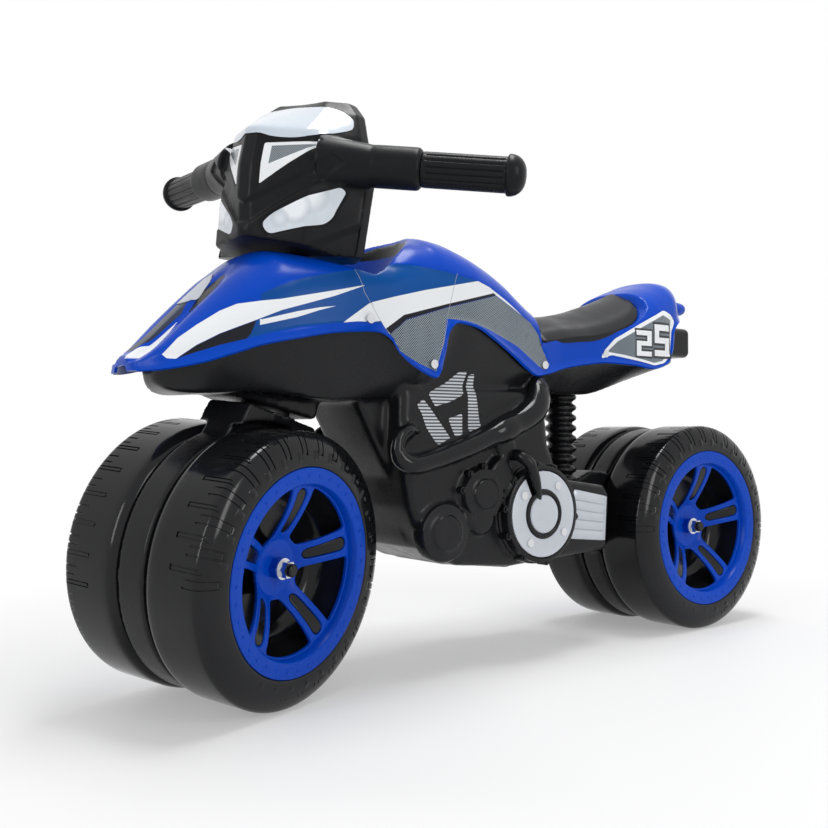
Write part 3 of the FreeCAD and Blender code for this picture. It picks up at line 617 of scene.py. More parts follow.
def printed_cover():
    """Blue plastic with printed panels, stripes and fields of holes on both sides and on the nose."""
    material, tree, shader = surface("printed_cover", Specular_IOR_Level=0.12)
    grained(tree, shader, place_of(tree), blue, 0.22, depth=0.000015, wear=0.03)
    x, y, z = local_place(tree, to_frame)
    side = calc(tree, "ABSOLUTE", y)
    paint = shader.inputs["Base Color"].links[0].from_socket
    field = hole_field(tree, x, z, 2.3)
    deep = mixed(tree, ramp(tree, x, 400, 560), (0.003, 0.075, 0.30, 1), deep_blue + (1,))
    layers = [
        (panel_lines, deep), (stripe_lines, white + (1,)), (second_stripe_lines, white + (1,)),
        (wedge_lines, dark_print + (1,)), (corner_lines, white + (1,)), (white_band_lines, white + (1,)),
        (front_field_lines, field), (rear_field_lines, field), (dark_line_lines, dark_print + (1,)),
    ]
    printed = None
    for (upper, lower), colour in layers:
        share = band(tree, x, z, upper, lower)
        paint = mixed(tree, share, paint, colour)
        printed = share if printed is None else calc(tree, "MAXIMUM", printed, share)
    for run in seam_runs:
        share = band(tree, z, x, [(a, b + 0.35) for a, b in run], [(a, b - 0.35) for a, b in run], 0.2)
        paint = mixed(tree, share, paint, (0.32, 0.34, 0.36, 1))
    faded = mixed(tree, ramp(tree, x, 606, 652), (0.05, 0.06, 0.10, 1), (0.015, 0.018, 0.03, 1))
    for (upper, lower), colour in ((nose_panel_lines, faded), (nose_stripe_lines, white + (1,))):
        share = calc(tree, "MULTIPLY", band(tree, x, side, upper, lower), ramp(tree, z, 166, 167))
        paint = mixed(tree, share, paint, colour)
        printed = calc(tree, "MAXIMUM", printed, share)
    tree.links.new(paint, shader.inputs["Base Color"])
    gloss = shader.inputs["Roughness"].links[0].from_socket
    duller = calc(tree, "ADD", gloss, calc(tree, "MULTIPLY", printed, 0.08))
    tree.links.new(duller, shader.inputs["Roughness"])
    return material


blue_plastic = plain_plastic("blue_plastic", blue, 0.25, wear=0.05, Specular_IOR_Level=0.12)
black_plastic = plain_plastic("black_plastic", black, 0.28, wear=0.15, Specular_IOR_Level=0.22)
black_gloss = plain_plastic("black_gloss", black, 0.13, wear=0.15, Specular_IOR_Level=0.24)
black_satin = plain_plastic("black_satin", black, 0.34, depth=0.00002, wear=0.15, Specular_IOR_Level=0.12)
black_seat = plain_plastic("black_seat", (0.010, 0.0105, 0.013), 0.34, wear=0.1, Specular_IOR_Level=0.16)
bearing = plain_plastic("bearing_plastic", (0.02, 0.02, 0.022), 0.4)
plated = steel("plated_steel", (0.72, 0.73, 0.75), 0.18)
dull_steel = steel("dull_steel", (0.42, 0.43, 0.45), 0.35)
silver_print = brushed_silver()


# Wheels
def tyre_rows():
    """The tyre's outer rows: radius, distance along the axle, outward normal, and run from the inner edge."""
    rows = []
    run = 0.0
    stops = {0.0, 6.0, 12.0, 26.0, 30.0, 38.0, 43.3}
    for place in (19.3, 20.4, 33.3, 34.4):
        stops |= {place, place - groove_wall, place + groove_wall}
    for run in sorted(stops):
        rows.append((wheel_radius, tread_start + inner_round + run, 1.0, 0.0, run))
    reach = wheel_radius - rim_radius - 3
    side = rim_plane - tread_edge
    angles = [6, 12, 18, 22, 23.5, 30, 36, 42, 48, 54, 58, 59, 60, 63, 65, 66, 67, 72, 76, 80, 84, 87, 90]
    last = (wheel_radius, tread_edge)
    run = 43.3
    for angle in angles:
        a = math.radians(angle)
        spot = (rim_radius + 3 + reach * math.cos(a), tread_edge + side * math.sin(a))
        run += math.dist(spot, last)
        last = spot
        normal = Vector((side * math.cos(a), reach * math.sin(a))).normalized()
        rows.append((spot[0], spot[1], normal[0], normal[1], run))
    return rows


def tread_stops():
    """Where the tyre's columns lie in one unit of the tread, in millimetres round it."""
    stops = {0.0, 4.6, 10.2, 18.6, 22.6}
    for start in (0.7, 7.3, 12.4, 15.6):
        stops |= {start - groove_wall, start, start + 1.0, start + 1.0 + groove_wall}
    return sorted(stops)


def tyre_profile(rows):
    """The tyre's whole outline: hub side, inner round, outer rows, and the dish behind the rim."""
    inside_round = []
    for k in range(6):
        a = math.radians(18 * k)
        inside_round.append((wheel_radius - inner_round + inner_round * math.sin(a),
                             tread_start + inner_round - inner_round * math.cos(a)))
    profile = [(bore_radius, tread_start), (50, tread_start)] + inside_round
    profile += [(row[0], row[1]) for row in rows]
    return profile + dish_rows


def make_tyre():
    """The wide moulded tyre with its grooves, lugs, and the dish behind the rim."""
    rows = tyre_rows()
    stops = tread_stops()
    tyre = spun("tyre", tyre_profile(rows), tread_units * len(stops))
    places = corners(tyre)
    radius = np.hypot(places[:, 0], places[:, 2])
    angle = np.arctan2(places[:, 2], places[:, 0]) % (2 * math.pi)
    step = 2 * math.pi / (tread_units * len(stops))
    number = np.rint(angle / step).astype(int) % (tread_units * len(stops))
    unit = number // len(stops)
    stop = np.array(stops)[number % len(stops)]
    pitch = 2 * math.pi * wheel_radius / tread_units
    angle = (unit + stop / pitch) * 2 * math.pi / tread_units
    run = np.full(len(places), -1.0)
    out_r = np.zeros(len(places))
    out_y = np.zeros(len(places))
    for row in rows:
        found = (abs(radius - row[0]) < 1e-3) & (abs(places[:, 1] - row[1]) < 1e-3)
        run[found] = row[4]
        out_r[found] = row[2]
        out_y[found] = row[3]
    change = np.zeros(len(places))
    edge = 0.01
    for s0, s1, p0, p1 in tread_grooves:
        within = (stop > s0 - edge) & (stop < s1 + edge) & (run > p0 - edge) & (run < p1 + edge)
        change[within] = -groove_depth
    lug = (stop > lug_span[0]) & (stop < lug_span[1]) & (run > lug_run[0]) & (run < lug_run[1])
    change[lug] = lug_height
    radius = radius + out_r * change
    places[:, 0] = radius * np.cos(angle)
    places[:, 2] = radius * np.sin(angle)
    places[:, 1] += out_y * change
    put_corners(tyre, places)
    return smooth_shaded(tyre, 50)


def spoke_face(radius):
    """How far out the face of the spokes lies."""
    t = np.clip((radius - 23.0) / 48.0, 0.0, 1.0)
    return 50.0 + 22.5 * (1 - (1 - t) ** 1.55)


def ring_outline(radius, count=120):
    """A circle as an outline."""
    return [(radius * math.cos(2 * math.pi * k / count), radius * math.sin(2 * math.pi * k / count))
            for k in range(count)]


def spoke_slot(angle, inner, outer, inner_half, outer_half):
    """The long rounded opening along the middle of a spoke."""
    points = []
    for k in range(13):
        a = math.radians(-90 + 15 * k)
        points.append((outer - outer_half + outer_half * math.cos(a), outer_half * math.sin(a)))
    for k in range(13):
        a = math.radians(90 + 15 * k)
        points.append((inner + inner_half + inner_half * math.cos(a), inner_half * math.sin(a)))
    return turned_points(points, angle)


def turned_points(points, angle):
    """Points turned about the origin, by degrees."""
    c, s = math.cos(math.radians(angle)), math.sin(math.radians(angle))
    return [(x * c - z * s, x * s + z * c) for x, z in points]


def spoke_gap(angle, inner, outer, root_half, tip_half):
    """The opening between two spokes, with rounded corners."""
    apart = math.pi / spoke_count
    sides = []
    for sign in (1, -1):
        side = []
        for k in range(7):
            r = inner + (outer - inner) * k / 6
            half = root_half + (tip_half - root_half) * (k / 6) ** 2
            a = sign * (apart - math.asin(half / r))
            side.append((r * math.cos(a), r * math.sin(a)))
        sides.append(side)
    top = [(outer * math.cos(a), outer * math.sin(a)) for a in np.linspace(
        math.atan2(sides[0][-1][1], sides[0][-1][0]), math.atan2(sides[1][-1][1], sides[1][-1][0]), 9)[1:-1]]
    points = [sides[0][0]] + sides[0][1:] + top + sides[1][::-1]
    return turned_points(rounded(points, 5.0, 4), angle)


def make_rim():
    """The blue rim: flange ring with rivets, dished double spokes, hub plate and hexagonal boss."""
    ring = spun("ring", ring_section, 180)
    smooth_shaded(ring, 35)
    openings = []
    for k in range(spoke_count):
        angle = spoke_start + 360 * k / spoke_count
        openings.append(spoke_slot(angle, *slot_size))
        openings.append(spoke_gap(angle + 180 / spoke_count, *gap_size))
    spokes = cut_plate("spokes", [ring_outline(spoke_rim), *openings], spoke_half, 0.9)
    remeshed(spokes, 0.8, 3)
    dished(spokes, spoke_half)
    smooth_shaded(spokes, 60)
    boss = drawn_out("boss", [hexagon(half_flats, y) for half_flats, y in boss_section])
    rivets = []
    for k in range(rivet_count):
        a = 2 * math.pi * k / rivet_count
        rivet = spun("rivet", rivet_section, 10, closed=False)
        rivet.data.transform(Matrix.Translation((rivet_reach * math.cos(a), 0, rivet_reach * math.sin(a))))
        rivets.append(smooth_shaded(rivet, 60))
    return joined("rim", [ring, spokes, boss] + rivets)


def hexagon(half_flats, y):
    """A hexagon round the axle, by half its width across flats."""
    radius = half_flats / math.cos(math.pi / 6)
    return [(radius * math.cos(k * math.pi / 3), y, radius * math.sin(k * math.pi / 3)) for k in range(6)]


def dished(piece, below):
    """Press a flat plate into the dish of the spokes."""
    places = corners(piece)
    radius = np.hypot(places[:, 0], places[:, 2])
    places[:, 1] += spoke_face(radius) - below
    put_corners(piece, places)


def make_inserts():
    """The dark strips that fill the slots of the spokes."""
    strips = []
    for k in range(spoke_count):
        angle = spoke_start + 360 * k / spoke_count
        strip = cut_plate("strip", [spoke_slot(angle, *strip_size)], 1.0, 0.5)
        remeshed(strip, 0.8, 1)
        dished(strip, 2.0)
        strips.append(smooth_shaded(strip, 60))
    return joined("inserts", strips)


def make_wheels():
    """Four wheels from one tyre, one rim and one set of dark strips."""
    tyre = make_tyre()
    rim = make_rim()
    inserts = make_inserts()
    for end, place in (("front", to_steering), ("rear", to_frame)):
        for side in ("left", "right"):
            body = "%s_%s_wheel" % (end, side)
            seat = place if side == "left" else place @ half_turn
            for form, label, slot, material, nodes in (
                    (tyre, "tyre", "black_plastic", black_gloss, ["wheel_%s_%s"]),
                    (rim, "wheel_rim", "blue_plastic", blue_plastic, ["rim_%s_%s"]),
                    (inserts, "spoke_inserts", "black_plastic", black_gloss, [])):
                piece = carried(copy_of(form, "%s_%s_%s" % (label, end, side)), seat)
                finished(piece, body, slot, material, *[n % (end, side) for n in nodes])
    for form in (tyre, rim, inserts):
        bpy.data.objects.remove(form)


make_wheels()


# Cover: rows from the nose to the tail, each as run along the cover, place of the crown, half width,
# crown height, shoulder height, place of the lower edge, height of the lower edge
cover_rows = [
    (0, 655, 24, 170, 162.5, 655, 156), (8, 648, 33, 176, 163, 648, 156.5), (20, 638, 42, 184, 164, 638, 158),
    (45, 616, 55, 206, 170, 616, 163), (72, 592, 64, 229, 180, 592, 171), (92, 572, 70, 246.5, 190, 572, 178),
    (122, 542, 76, 264, 202, 543, 184.5), (162, 502, 82, 265, 214, 501, 192),
    (194, 478, 85, 266, 219, 469, 194), (212, 462, 86.3, 266.5, 222.5, 452, 188),
    (226, 450, 87, 268, 225, 443, 176), (242, 440, 87.6, 276, 227, 430, 166),
    (268, 422, 88.6, 285, 230, 406, 156), (284, 406, 89, 288, 232.5, 400, 171),
    (308, 392, 89, 291, 234, 393, 196), (324, 378, 88.7, 289.5, 234, 380, 207),
    (346, 358, 86.8, 284, 234, 358, 205), (378, 329, 82, 274.5, 228, 332, 196),
    (408, 302, 76.5, 262.5, 220, 302, 182), (432, 278, 71.3, 248, 211, 278, 170),
    (450, 258, 67, 237, 205, 260, 164), (470, 238, 63.5, 232, 199.5, 240, 167),
    (497, 213, 60.5, 231.5, 194, 213, 174), (528, 182, 60, 232, 193, 182, 179),
    (560, 150, 61.5, 236.5, 196, 150, 182), (597, 113, 64.3, 249, 206.5, 113, 181),
    (628, 86, 65.5, 262, 215, 80, 178), (648, 70, 65.8, 268.5, 220.5, 57, 184),
    (662, 62, 65, 272, 222.5, 48, 198), (678, 50, 63.5, 276.5, 225.5, 43, 219),
    (698, 30, 59.5, 283, 230, 30, 231), (720, 9, 45, 284, 236, 9, 237),
    (738, -8, 31, 280, 240, -8, 241), (750, -20, 17, 273, 243, -20, 244),
]
squareness = 2.6
arch_columns = 44
side_columns = 18
lip_rise = 7.0
lip_reach = 3.0
row_step = 2.2
panel_depth = 1.2
end_rows = 7
cover_wall = 2.4
well_radius = 85.0
well_level = 259.0
well_slope = 9.0
valley_depth = 8.0
bed_gap = 1.5
bed_slope = 6.0
bed_front = 250
bed_rear = 78
# The bed under the seat, each row as place, half width, height of the crown and height of the edge
seat_rows = [
    (250, 34, 212, 196), (238, 60, 225, 200), (206, 61, 231, 205), (170, 61, 236, 209),
    (138, 61, 244, 216), (108, 59, 254, 226), (88, 54, 261, 238), (74, 36, 267, 252),
]


def cover_point(run, column):
    """A point of the cover's left half: from the crown at column 0 to the lower edge at column 1."""
    table = np.array(cover_rows)
    top_x, half, crown, shoulder, edge_x, edge = (
        curve_through(run, table[:, 0], table[:, k]) for k in range(1, 7))
    shoulder = np.maximum(shoulder, edge + 2.0)
    arch_share = arch_columns / (arch_columns + side_columns)
    t = np.clip(column / arch_share, 0, 1)
    angle = (1 - t) * math.pi / 2
    y = half * np.cos(angle) ** (2 / squareness)
    z = shoulder + (crown - shoulder) * np.sin(angle) ** (2 / squareness)
    down = np.clip((column - arch_share) / (1 - arch_share), 0, 1)
    z = np.where(column > arch_share, shoulder + (edge - shoulder) * down, z)
    sideways = eased(column, 0.35 * arch_share, 1.0)
    x = top_x + (edge_x - top_x) * sideways
    return x, y, z


def panel_edge():
    """The outline of the shallow bed that the side prints lie in."""
    upper = stripe_lines[0][:5] + panel_lines[0][4:] + white_band_lines[0][4:]
    lower = stripe_lines[1][1:3] + wedge_lines[1][1:4] + panel_lines[1][1:6] + front_field_lines[1][1:5]
    return upper + rear_field_lines[1][::-1] + lower[::-1]


def shape_cover(x, y, z, edge_height):
    """Add the nose valleys, the lip along the lower edge, the well of the handlebar and the seat's bed."""
    side = np.abs(y)
    nose = eased(x, 556, 600) * (1 - 0.5 * eased(x, 640, 664))
    valley = eased(side, 9, 15) * (1 - eased(side, 15, 38))
    z = z - valley_depth * nose * valley * eased(z - edge_height, 4, 14)
    printed_area = panel_edge()
    y = y - np.sign(y) * panel_depth * eased(depth_in(printed_area, x, z), -0.5, 2.0) * eased(side, 30, 36)
    lip = 1 - np.clip((z - edge_height) / lip_rise, 0, 1)
    y = y + np.sign(y) * lip_reach * lip ** 1.5
    along = (x - wheelbase) * steering_axis.x + z * steering_axis.z
    foot_x = x - wheelbase - along * steering_axis.x
    foot_z = z - along * steering_axis.z
    radial = np.sqrt(foot_x ** 2 + foot_z ** 2 + y ** 2)
    limit = well_level + well_slope * np.maximum(0, radial - well_radius)
    drop = np.maximum(0, along - limit)
    x = x - drop * steering_axis.x
    z = z - drop * steering_axis.z
    seats = np.array(seat_rows)
    bed = curve_through(x, seats[:, 0], seats[:, 3]) - bed_gap
    bed = bed + bed_slope * np.maximum(0, x - bed_front) + bed_slope * np.maximum(0, bed_rear - x)
    z = np.minimum(z, np.maximum(bed, edge_height + 8))
    return x, y, z


def cover_grid():
    """A flat grid whose corners are moved onto the cover's skin, closed in over its two ends."""
    length = cover_rows[-1][0]
    rows = int(length / row_step)
    half_columns = arch_columns + side_columns
    clear_selection()
    bpy.ops.mesh.primitive_grid_add(
        x_subdivisions=rows + 2 * end_rows, y_subdivisions=2 * half_columns, size=2)
    piece = bpy.context.object
    piece.name = "cover_shell"
    places = corners(piece)
    row = np.rint((1 - places[:, 0]) / 2 * (rows + 2 * end_rows)).astype(int)
    column = np.rint(places[:, 1] * half_columns) / half_columns
    inner_row = np.clip(row - end_rows, 0, rows)
    beyond = np.clip(np.maximum(end_rows - row, row - end_rows - rows), 0, end_rows) / end_rows
    run = inner_row * length / rows
    x, y, z = cover_point(run, np.abs(column))
    table = np.array(cover_rows)
    edge_height = curve_through(run, table[:, 0], table[:, 6])
    front = row < end_rows
    close = 1 - np.cos(beyond * math.pi / 2)
    y = y * (1 - 0.6 * close)
    z = z + (edge_height + 0.35 * (z - edge_height) - z) * close
    x = x + np.where(front, 1, -1) * 4.0 * np.sin(beyond * math.pi / 2)
    y = y * np.sign(column + 1e-9)
    x, y, z = shape_cover(x, y, z, edge_height)
    put_corners(piece, np.stack([x, y, z], axis=1))
    return piece


def make_cover():
    """The thin blue cover."""
    piece = cover_grid()
    face_outwards(piece)
    smooth = piece.modifiers.new("smooth", "SMOOTH")
    smooth.factor = 0.5
    smooth.iterations = 2
    wall = piece.modifiers.new("wall", "SOLIDIFY")
    wall.thickness = cover_wall
    wall.offset = -1
    apply_all(piece)
    smooth_shaded(piece, 50)
    carried(piece, to_frame)
    finished(piece, "frame", "blue_plastic", printed_cover(), "cover")
    return piece


cover = make_cover()


# Seat
# Each row as place, half width, height of the crown and height of the edge
seat_outline = [
    (250, 30, 212, 200), (246, 46, 217, 200), (238, 60, 224, 200), (222, 61.5, 229, 202),
    (206, 61.8, 231.5, 205), (190, 61.8, 233, 207), (170, 61.8, 236.5, 209), (150, 61.7, 241, 213),
    (138, 61.5, 244.5, 216), (108, 59.5, 254, 226), (95, 56, 258.5, 234), (84, 48, 262.5, 244),
    (76, 36, 266, 252), (72, 22, 268, 259),
]


def make_seat():
    """The hard black seat: a crowned top, a soft ridge along each side and a steep edge."""
    table = np.array(seat_outline)
    rings = []
    for x in np.linspace(72, 250, 72):
        half, crown, edge = (float(curve_through(x, table[:, 0], table[:, k])) for k in (1, 2, 3))
        ring = []
        for k in range(41):
            share = (k - 20) / 20
            y = half * math.sin(share * math.pi / 2)
            t = abs(y) / half
            ridge = edge + 0.32 * (crown - edge)
            if t < 0.8:
                z = crown - (crown - ridge) * (t / 0.8) ** 1.7
            else:
                z = ridge - (ridge - edge) * ((t - 0.8) / 0.2) ** 1.6
            z += 1.8 * math.exp(-((t - 0.8) / 0.09) ** 2) * min(1.0, half / 50)
            ring.append((x, y, z))
        ring += [
            (x, half - 0.5, edge - 6), (x, half - 5, edge - 8), (x, 0, edge - 8), (x, 5 - half, edge - 8),
            (x, 0.5 - half, edge - 6),
        ]
        rings.append(ring)
    piece = drawn_out("seat_top", rings)
    smooth = piece.modifiers.new("smooth", "SMOOTH")
    smooth.iterations = 3
    apply_all(piece)
    smooth_shaded(piece, 50)
    carried(piece, to_frame)
    finished(piece, "frame", "black_soft", black_seat, "seat")


make_seat()


# Handlebar: outlines on the pod's front as (distance from the middle, height along the steering's frame)
lamp_outline = [(15.5, 284.5), (21, 276.0), (59, 287), (63, 293), (68, 316), (65, 320), (23, 293)]
plate_outline = [(12.5, 352), (54, 357), (12.5, 317)]
band_outline = [(-4, 284), (-4, 300), (16, 311), (66.6, 346.6), (76.3, 338), (24, 298), (8, 285)]
screen_outline = [
    (0, 358.6), (8.9, 359), (15.4, 356.5), (24.1, 355.7), (32.4, 356.1), (40.6, 357.8), (54.6, 364.9),
    (62, 373), (58, 385), (49, 392), (38, 396), (0, 397.5),
]
screen_foot = 357
band_depth = 2.6
lamp_bed = 1.6
plate_bed = 1.0
# Headlamps: each printed bulb as (distance from the middle, height, radius), and how far forward they lie
lamp_bulbs = ((57, 312, 12.0), (39, 300, 9.0), (26, 290, 7.0))
bulb_place = -10.0
bar_root = Vector((-35.0, 44.0, 341.0))
bar_end = Vector((-107.0, 203.0, 336.0))
grip_length = 87.0
bulb_length = 15.0
flute_count = 16
flute_depth = 1.3

# Prints: the longest edge of their meshes, and for each plane its axes, set off from the bike, and its look
longest_edge = 4.0
split_rounds = 9
print_planes = {
    "front": (((0, 0, 1, 150), (1, 0, 0, 0), (0, 1, 0, 0), (0, 0, 0, 1)), (-1, 0, 0)),
    "left": (((1, 0, 0, 0), (0, 0, 1, 150), (0, 1, 0, 0), (0, 0, 0, 1)), (0, -1, 0)),
    "right": (((1, 0, 0, 0), (0, 0, -1, -150), (0, 1, 0, 0), (0, 0, 0, 1)), (0, 1, 0)),
    "top": (((1, 0, 0, 0), (0, 1, 0, 0), (0, 0, 1, 350), (0, 0, 0, 1)), (0, 0, -1)),
}


def normals_of(piece):
    """The directions in which the mesh's vertices face."""
    normals = np.empty(len(piece.data.vertices) * 3)
    piece.data.vertices.foreach_get("normal", normals)
    return normals.reshape(-1, 3)


def pressed_pod(places, normals):
    """Press the bands, the lamp beds and the plate beds into the pod's front."""
    x, y, z = places.T
    side = np.abs(y)
    front = eased(normals[:, 0], 0.15, 0.45)
    depth = band_depth * eased(depth_in(band_outline, side, z), 0.0, 2.2)
    depth = np.maximum(depth, lamp_bed * eased(depth_in(lamp_outline, side, z), -2.0, 0.0))
    depth = np.maximum(depth, plate_bed * eased(depth_in(plate_outline, side, z), -1.6, 0.0))
    corner = eased(0.62 * (side - 50) - 0.79 * (z - 265) + 4, 0, 6) * eased(300 - z, 0, 12)
    depth = depth + 5.0 * corner * eased(side, 46, 54)
    boss = np.exp(-((side - 1) ** 2 + (z - 279) ** 2) / 22.0)
    depth = depth - 1.6 * boss
    places[:, 0] = x - depth * front
    return places


def make_pod():
    """The handlebar moulding with its pod, from the constructed form."""
    piece = cad_copy("handlebar")
    piece.name = "handlebar_moulding"
    remeshed(piece, 0.0014, 8)
    piece.data.transform(to_steering.inverted())
    put_corners(piece, pressed_pod(corners(piece), normals_of(piece)))
    smooth_shaded(piece, 60)
    carried(piece, to_steering)
    finished(piece, "steering", "black_plastic", black_satin, "handlebar")
    return piece


def bar_place():
    """The frame of the left bar: Y runs from the pod to the grip's end."""
    along = (bar_end - bar_root).normalized()
    across = along.cross(Vector((0, 0, 1))).normalized()
    over = across.cross(along)
    return Matrix.Translation(bar_root) @ Matrix((
        (across.x, along.x, over.x, 0),
        (across.y, along.y, over.y, 0),
        (across.z, along.z, over.z, 0),
        (0, 0, 0, 1),
    ))


def make_grip():
    """The fluted sleeve with its flange and round end, along Y from the pod's side."""
    length = (bar_end - bar_root).length
    start = length - grip_length
    bulb = start + grip_length - bulb_length
    sections = [
        (start, 14.0, 0.0), (start + 0.6, 14.8, 0.0), (start + 2, 15.0, 0.0), (start + 3, 15.0, 0.2),
        (start + 5, 15.0, 1.0), (bulb - 4, 15.0, 1.0), (bulb - 2.4, 15.0, 0.2), (bulb - 1.6, 15.0, 0.0),
        (bulb - 0.8, 16.4, 0.0), (bulb, 17.2, 0.0),
    ]
    for k in range(9):
        a = math.radians(11 * k)
        sections.append((length - bulb_length + 1 + 14 * math.sin(a), 17.4 * math.cos(a) ** 0.8, 0.0))
    rings = []
    for y, radius, flute in sections:
        ring = []
        for k in range(flute_count * 8):
            a = 2 * math.pi * k / (flute_count * 8)
            groove = max(0.0, math.cos(a * flute_count)) ** 2.0
            r = radius - flute_depth * groove * flute
            ring.append((r * math.cos(a), y, r * math.sin(a)))
        rings.append(ring)
    return smooth_shaded(drawn_out("grip", rings), 42)


def make_grips():
    """Both grips, the right one mirrored."""
    grip = make_grip()
    for side, flip in both_sides:
        piece = carried(copy_of(grip, "grip_sleeve_" + side), to_steering @ flip @ bar_place())
        finished(piece, "steering", "black_soft", black_satin, "grip_" + side)
    bpy.data.objects.remove(grip)


def divided(piece, longest):
    """Split a flat mesh until none of its edges is longer than allowed."""
    bpy.ops.object.mode_set(mode="EDIT")
    for _ in range(split_rounds):
        bpy.ops.mesh.select_all(action="DESELECT")
        mesh = bmesh.from_edit_mesh(piece.data)
        long_edges = [e for e in mesh.edges if e.calc_length() > longest]
        if not long_edges:
            break
        for edge in long_edges:
            edge.select_set(True)
        bmesh.update_edit_mesh(piece.data)
        bpy.ops.mesh.subdivide(number_cuts=1)
        bpy.ops.mesh.select_all(action="SELECT")
        bpy.ops.mesh.quads_convert_to_tris(quad_method="BEAUTY", ngon_method="BEAUTY")
        bpy.ops.mesh.beautify_fill(angle_limit=math.pi)
    bpy.ops.object.mode_set(mode="OBJECT")


def dropped_on(piece, target, direction, lift):
    """Move every vertex along a direction onto another piece; past its edge, to the nearest spot on it."""
    target_form = target.evaluated_get(bpy.context.evaluated_depsgraph_get())
    placed = []
    missed = []
    for vertex in piece.data.vertices:
        hit, spot, normal, _ = target_form.ray_cast(vertex.co, direction)
        if hit:
            placed.append((vertex.co.copy(), (spot - vertex.co).length))
            vertex.co = spot + normal * lift * 0.001
        else:
            missed.append(vertex)
    for vertex in missed:
        near = min(placed, key=lambda pair: (pair[0] - vertex.co).length)
        _, spot, normal, _ = target_form.closest_point_on_mesh(vertex.co + direction * near[1])
        vertex.co = spot + normal * lift * 0.001


def laid_on(name, outline, plane, target, place, lift=0.25, thick=0.35):
    """A thin print that lies on another piece: its outline is given in a plane of a frame."""
    axes, look = print_planes[plane]
    piece = made_mesh(name, flat_curve(name, [outline], "FRONT"))
    divided(piece, longest_edge)
    piece.data.transform(place @ Matrix(axes))
    direction = (place.to_3x3() @ Vector(look)).normalized()
    dropped_on(piece, target, direction, lift)
    face_outwards(piece)
    if sum(p.normal.dot(direction) * p.area for p in piece.data.polygons) > 0:
        piece.data.flip_normals()
    wall = piece.modifiers.new("wall", "SOLIDIFY")
    wall.thickness = thick * 0.001
    wall.offset = 1
    apply_all(piece)
    return smooth_shaded(piece, 45)


def screen_print():
    """The pale screen, bluer at its lower edge."""
    material, tree, shader = surface("screen_print", Roughness=0.12, Coat_Weight=0.3)
    place = place_of(tree)
    upwards = tuple((to_steering.to_3x3() @ Vector((0, 0, 1))).normalized())
    local = node(tree, "ShaderNodeVectorMath", {"operation": "DOT_PRODUCT"}, i0=place, i1=upwards)
    cloud = noise(tree, place, 18.0, 2.0)
    height = calc(tree, "ADD", local.outputs["Value"], calc(tree, "MULTIPLY", cloud, 0.02))
    up = ramp(tree, height, 0.475, 0.525)
    pale = mixed(tree, up, (0.55, 0.62, 0.70, 1), (0.58, 0.61, 0.65, 1))
    tree.links.new(pale, shader.inputs["Base Color"])
    return material


def lamp_print(side):
    """The printed headlamp: pale glass with rounder, brighter lamps in it."""
    material, tree, shader = surface("lamp_print_" + side, Roughness=0.15, Coat_Weight=0.3)
    place = place_of(tree)
    flip = 1 if side == "left" else -1
    shades = noise(tree, place, 60.0, 3.0)
    base = mixed(tree, shades, (0.50, 0.56, 0.62, 1), (0.72, 0.77, 0.82, 1))
    for y, z, radius in lamp_bulbs:
        middle = to_steering @ Vector((bulb_place, y * flip, z))
        apart = node(tree, "ShaderNodeVectorMath", {"operation": "DISTANCE"}, i0=place, i1=tuple(middle))
        distance = apart.outputs["Value"]
        bulb = ramp(tree, distance, radius * 0.00155, radius * 0.0009)
        shade = ramp(tree, distance, radius * 0.0017, radius * 0.00135, 0.0, 0.5)
        base = mixed(tree, shade, base, (0.38, 0.42, 0.48, 1))
        base = mixed(tree, bulb, base, (0.82, 0.86, 0.90, 1))
    tree.links.new(base, shader.inputs["Base Color"])
    return material


def race_print():
    """White plate with a grey field of small holes."""
    material, tree, shader = surface("race_print", Roughness=0.22, Coat_Weight=0.2)
    _, across, height = local_place(tree, to_steering)
    side = calc(tree, "ABSOLUTE", across)
    field = hole_field(tree, side, height, 1.7)
    middle = band(tree, side, height, [(18, 350), (48, 354)], [(18, 334), (48, 353)])
    paint = mixed(tree, middle, white + (1,), field)
    tree.links.new(paint, shader.inputs["Base Color"])
    return material


def make_prints(pod):
    """The screen, both headlamps and both plates under the screen."""
    screen = screen_print()
    race = race_print()
    whole = screen_outline + [(-y, z) for y, z in reversed(screen_outline[1:-1])]
    inner = [(y * 0.965, screen_foot + (z - screen_foot) * 0.86 + 1.6) for y, z in whole]
    piece = laid_on("screen_front", rounded(inner, 3.0, 2), "front", pod, to_steering)
    finished(piece, "steering", "clear_print", screen, "screen_panel")
    for side, sign in (("left", 1), ("right", -1)):
        outline = rounded([(y * sign, z) for y, z in lamp_outline], 5.0)
        lamp = laid_on("lamp_front_" + side, outline, "front", pod, to_steering, lift=0.1)
        finished(lamp, "steering", "clear_print", lamp_print(side), "headlamp_" + side)
        outline = rounded([(y * sign, z) for y, z in plate_outline], 2.0)
        plate = laid_on("number_triangle_" + side, outline, "front", pod, to_steering, lift=0.1)
        finished(plate, "steering", "silver_print", race, *(["race_plate"] if side == "left" else []))


pod = make_pod()
make_grips()
make_prints(pod)


# Soft forms of the body and the fork
def make_frame_body():
    """The black body, softened all over."""
    piece = cad_copy("frame_body")
    piece.name = "moulded_body"
    remeshed(piece, 0.0028, 3)
    smooth_shaded(piece, 60)
    finished(piece, "frame", "black_plastic", black_plastic, "frame_body")
    return piece


def make_fork():
    """The fork with the front wheels' middle disc, softened all over."""
    piece = cad_copy("fork")
    piece.name = "moulded_fork"
    remeshed(piece, 0.0018, 4)
    smooth_shaded(piece, 60)
    finished(piece, "steering", "black_plastic", black_plastic, "fork")


body = make_frame_body()
make_fork()


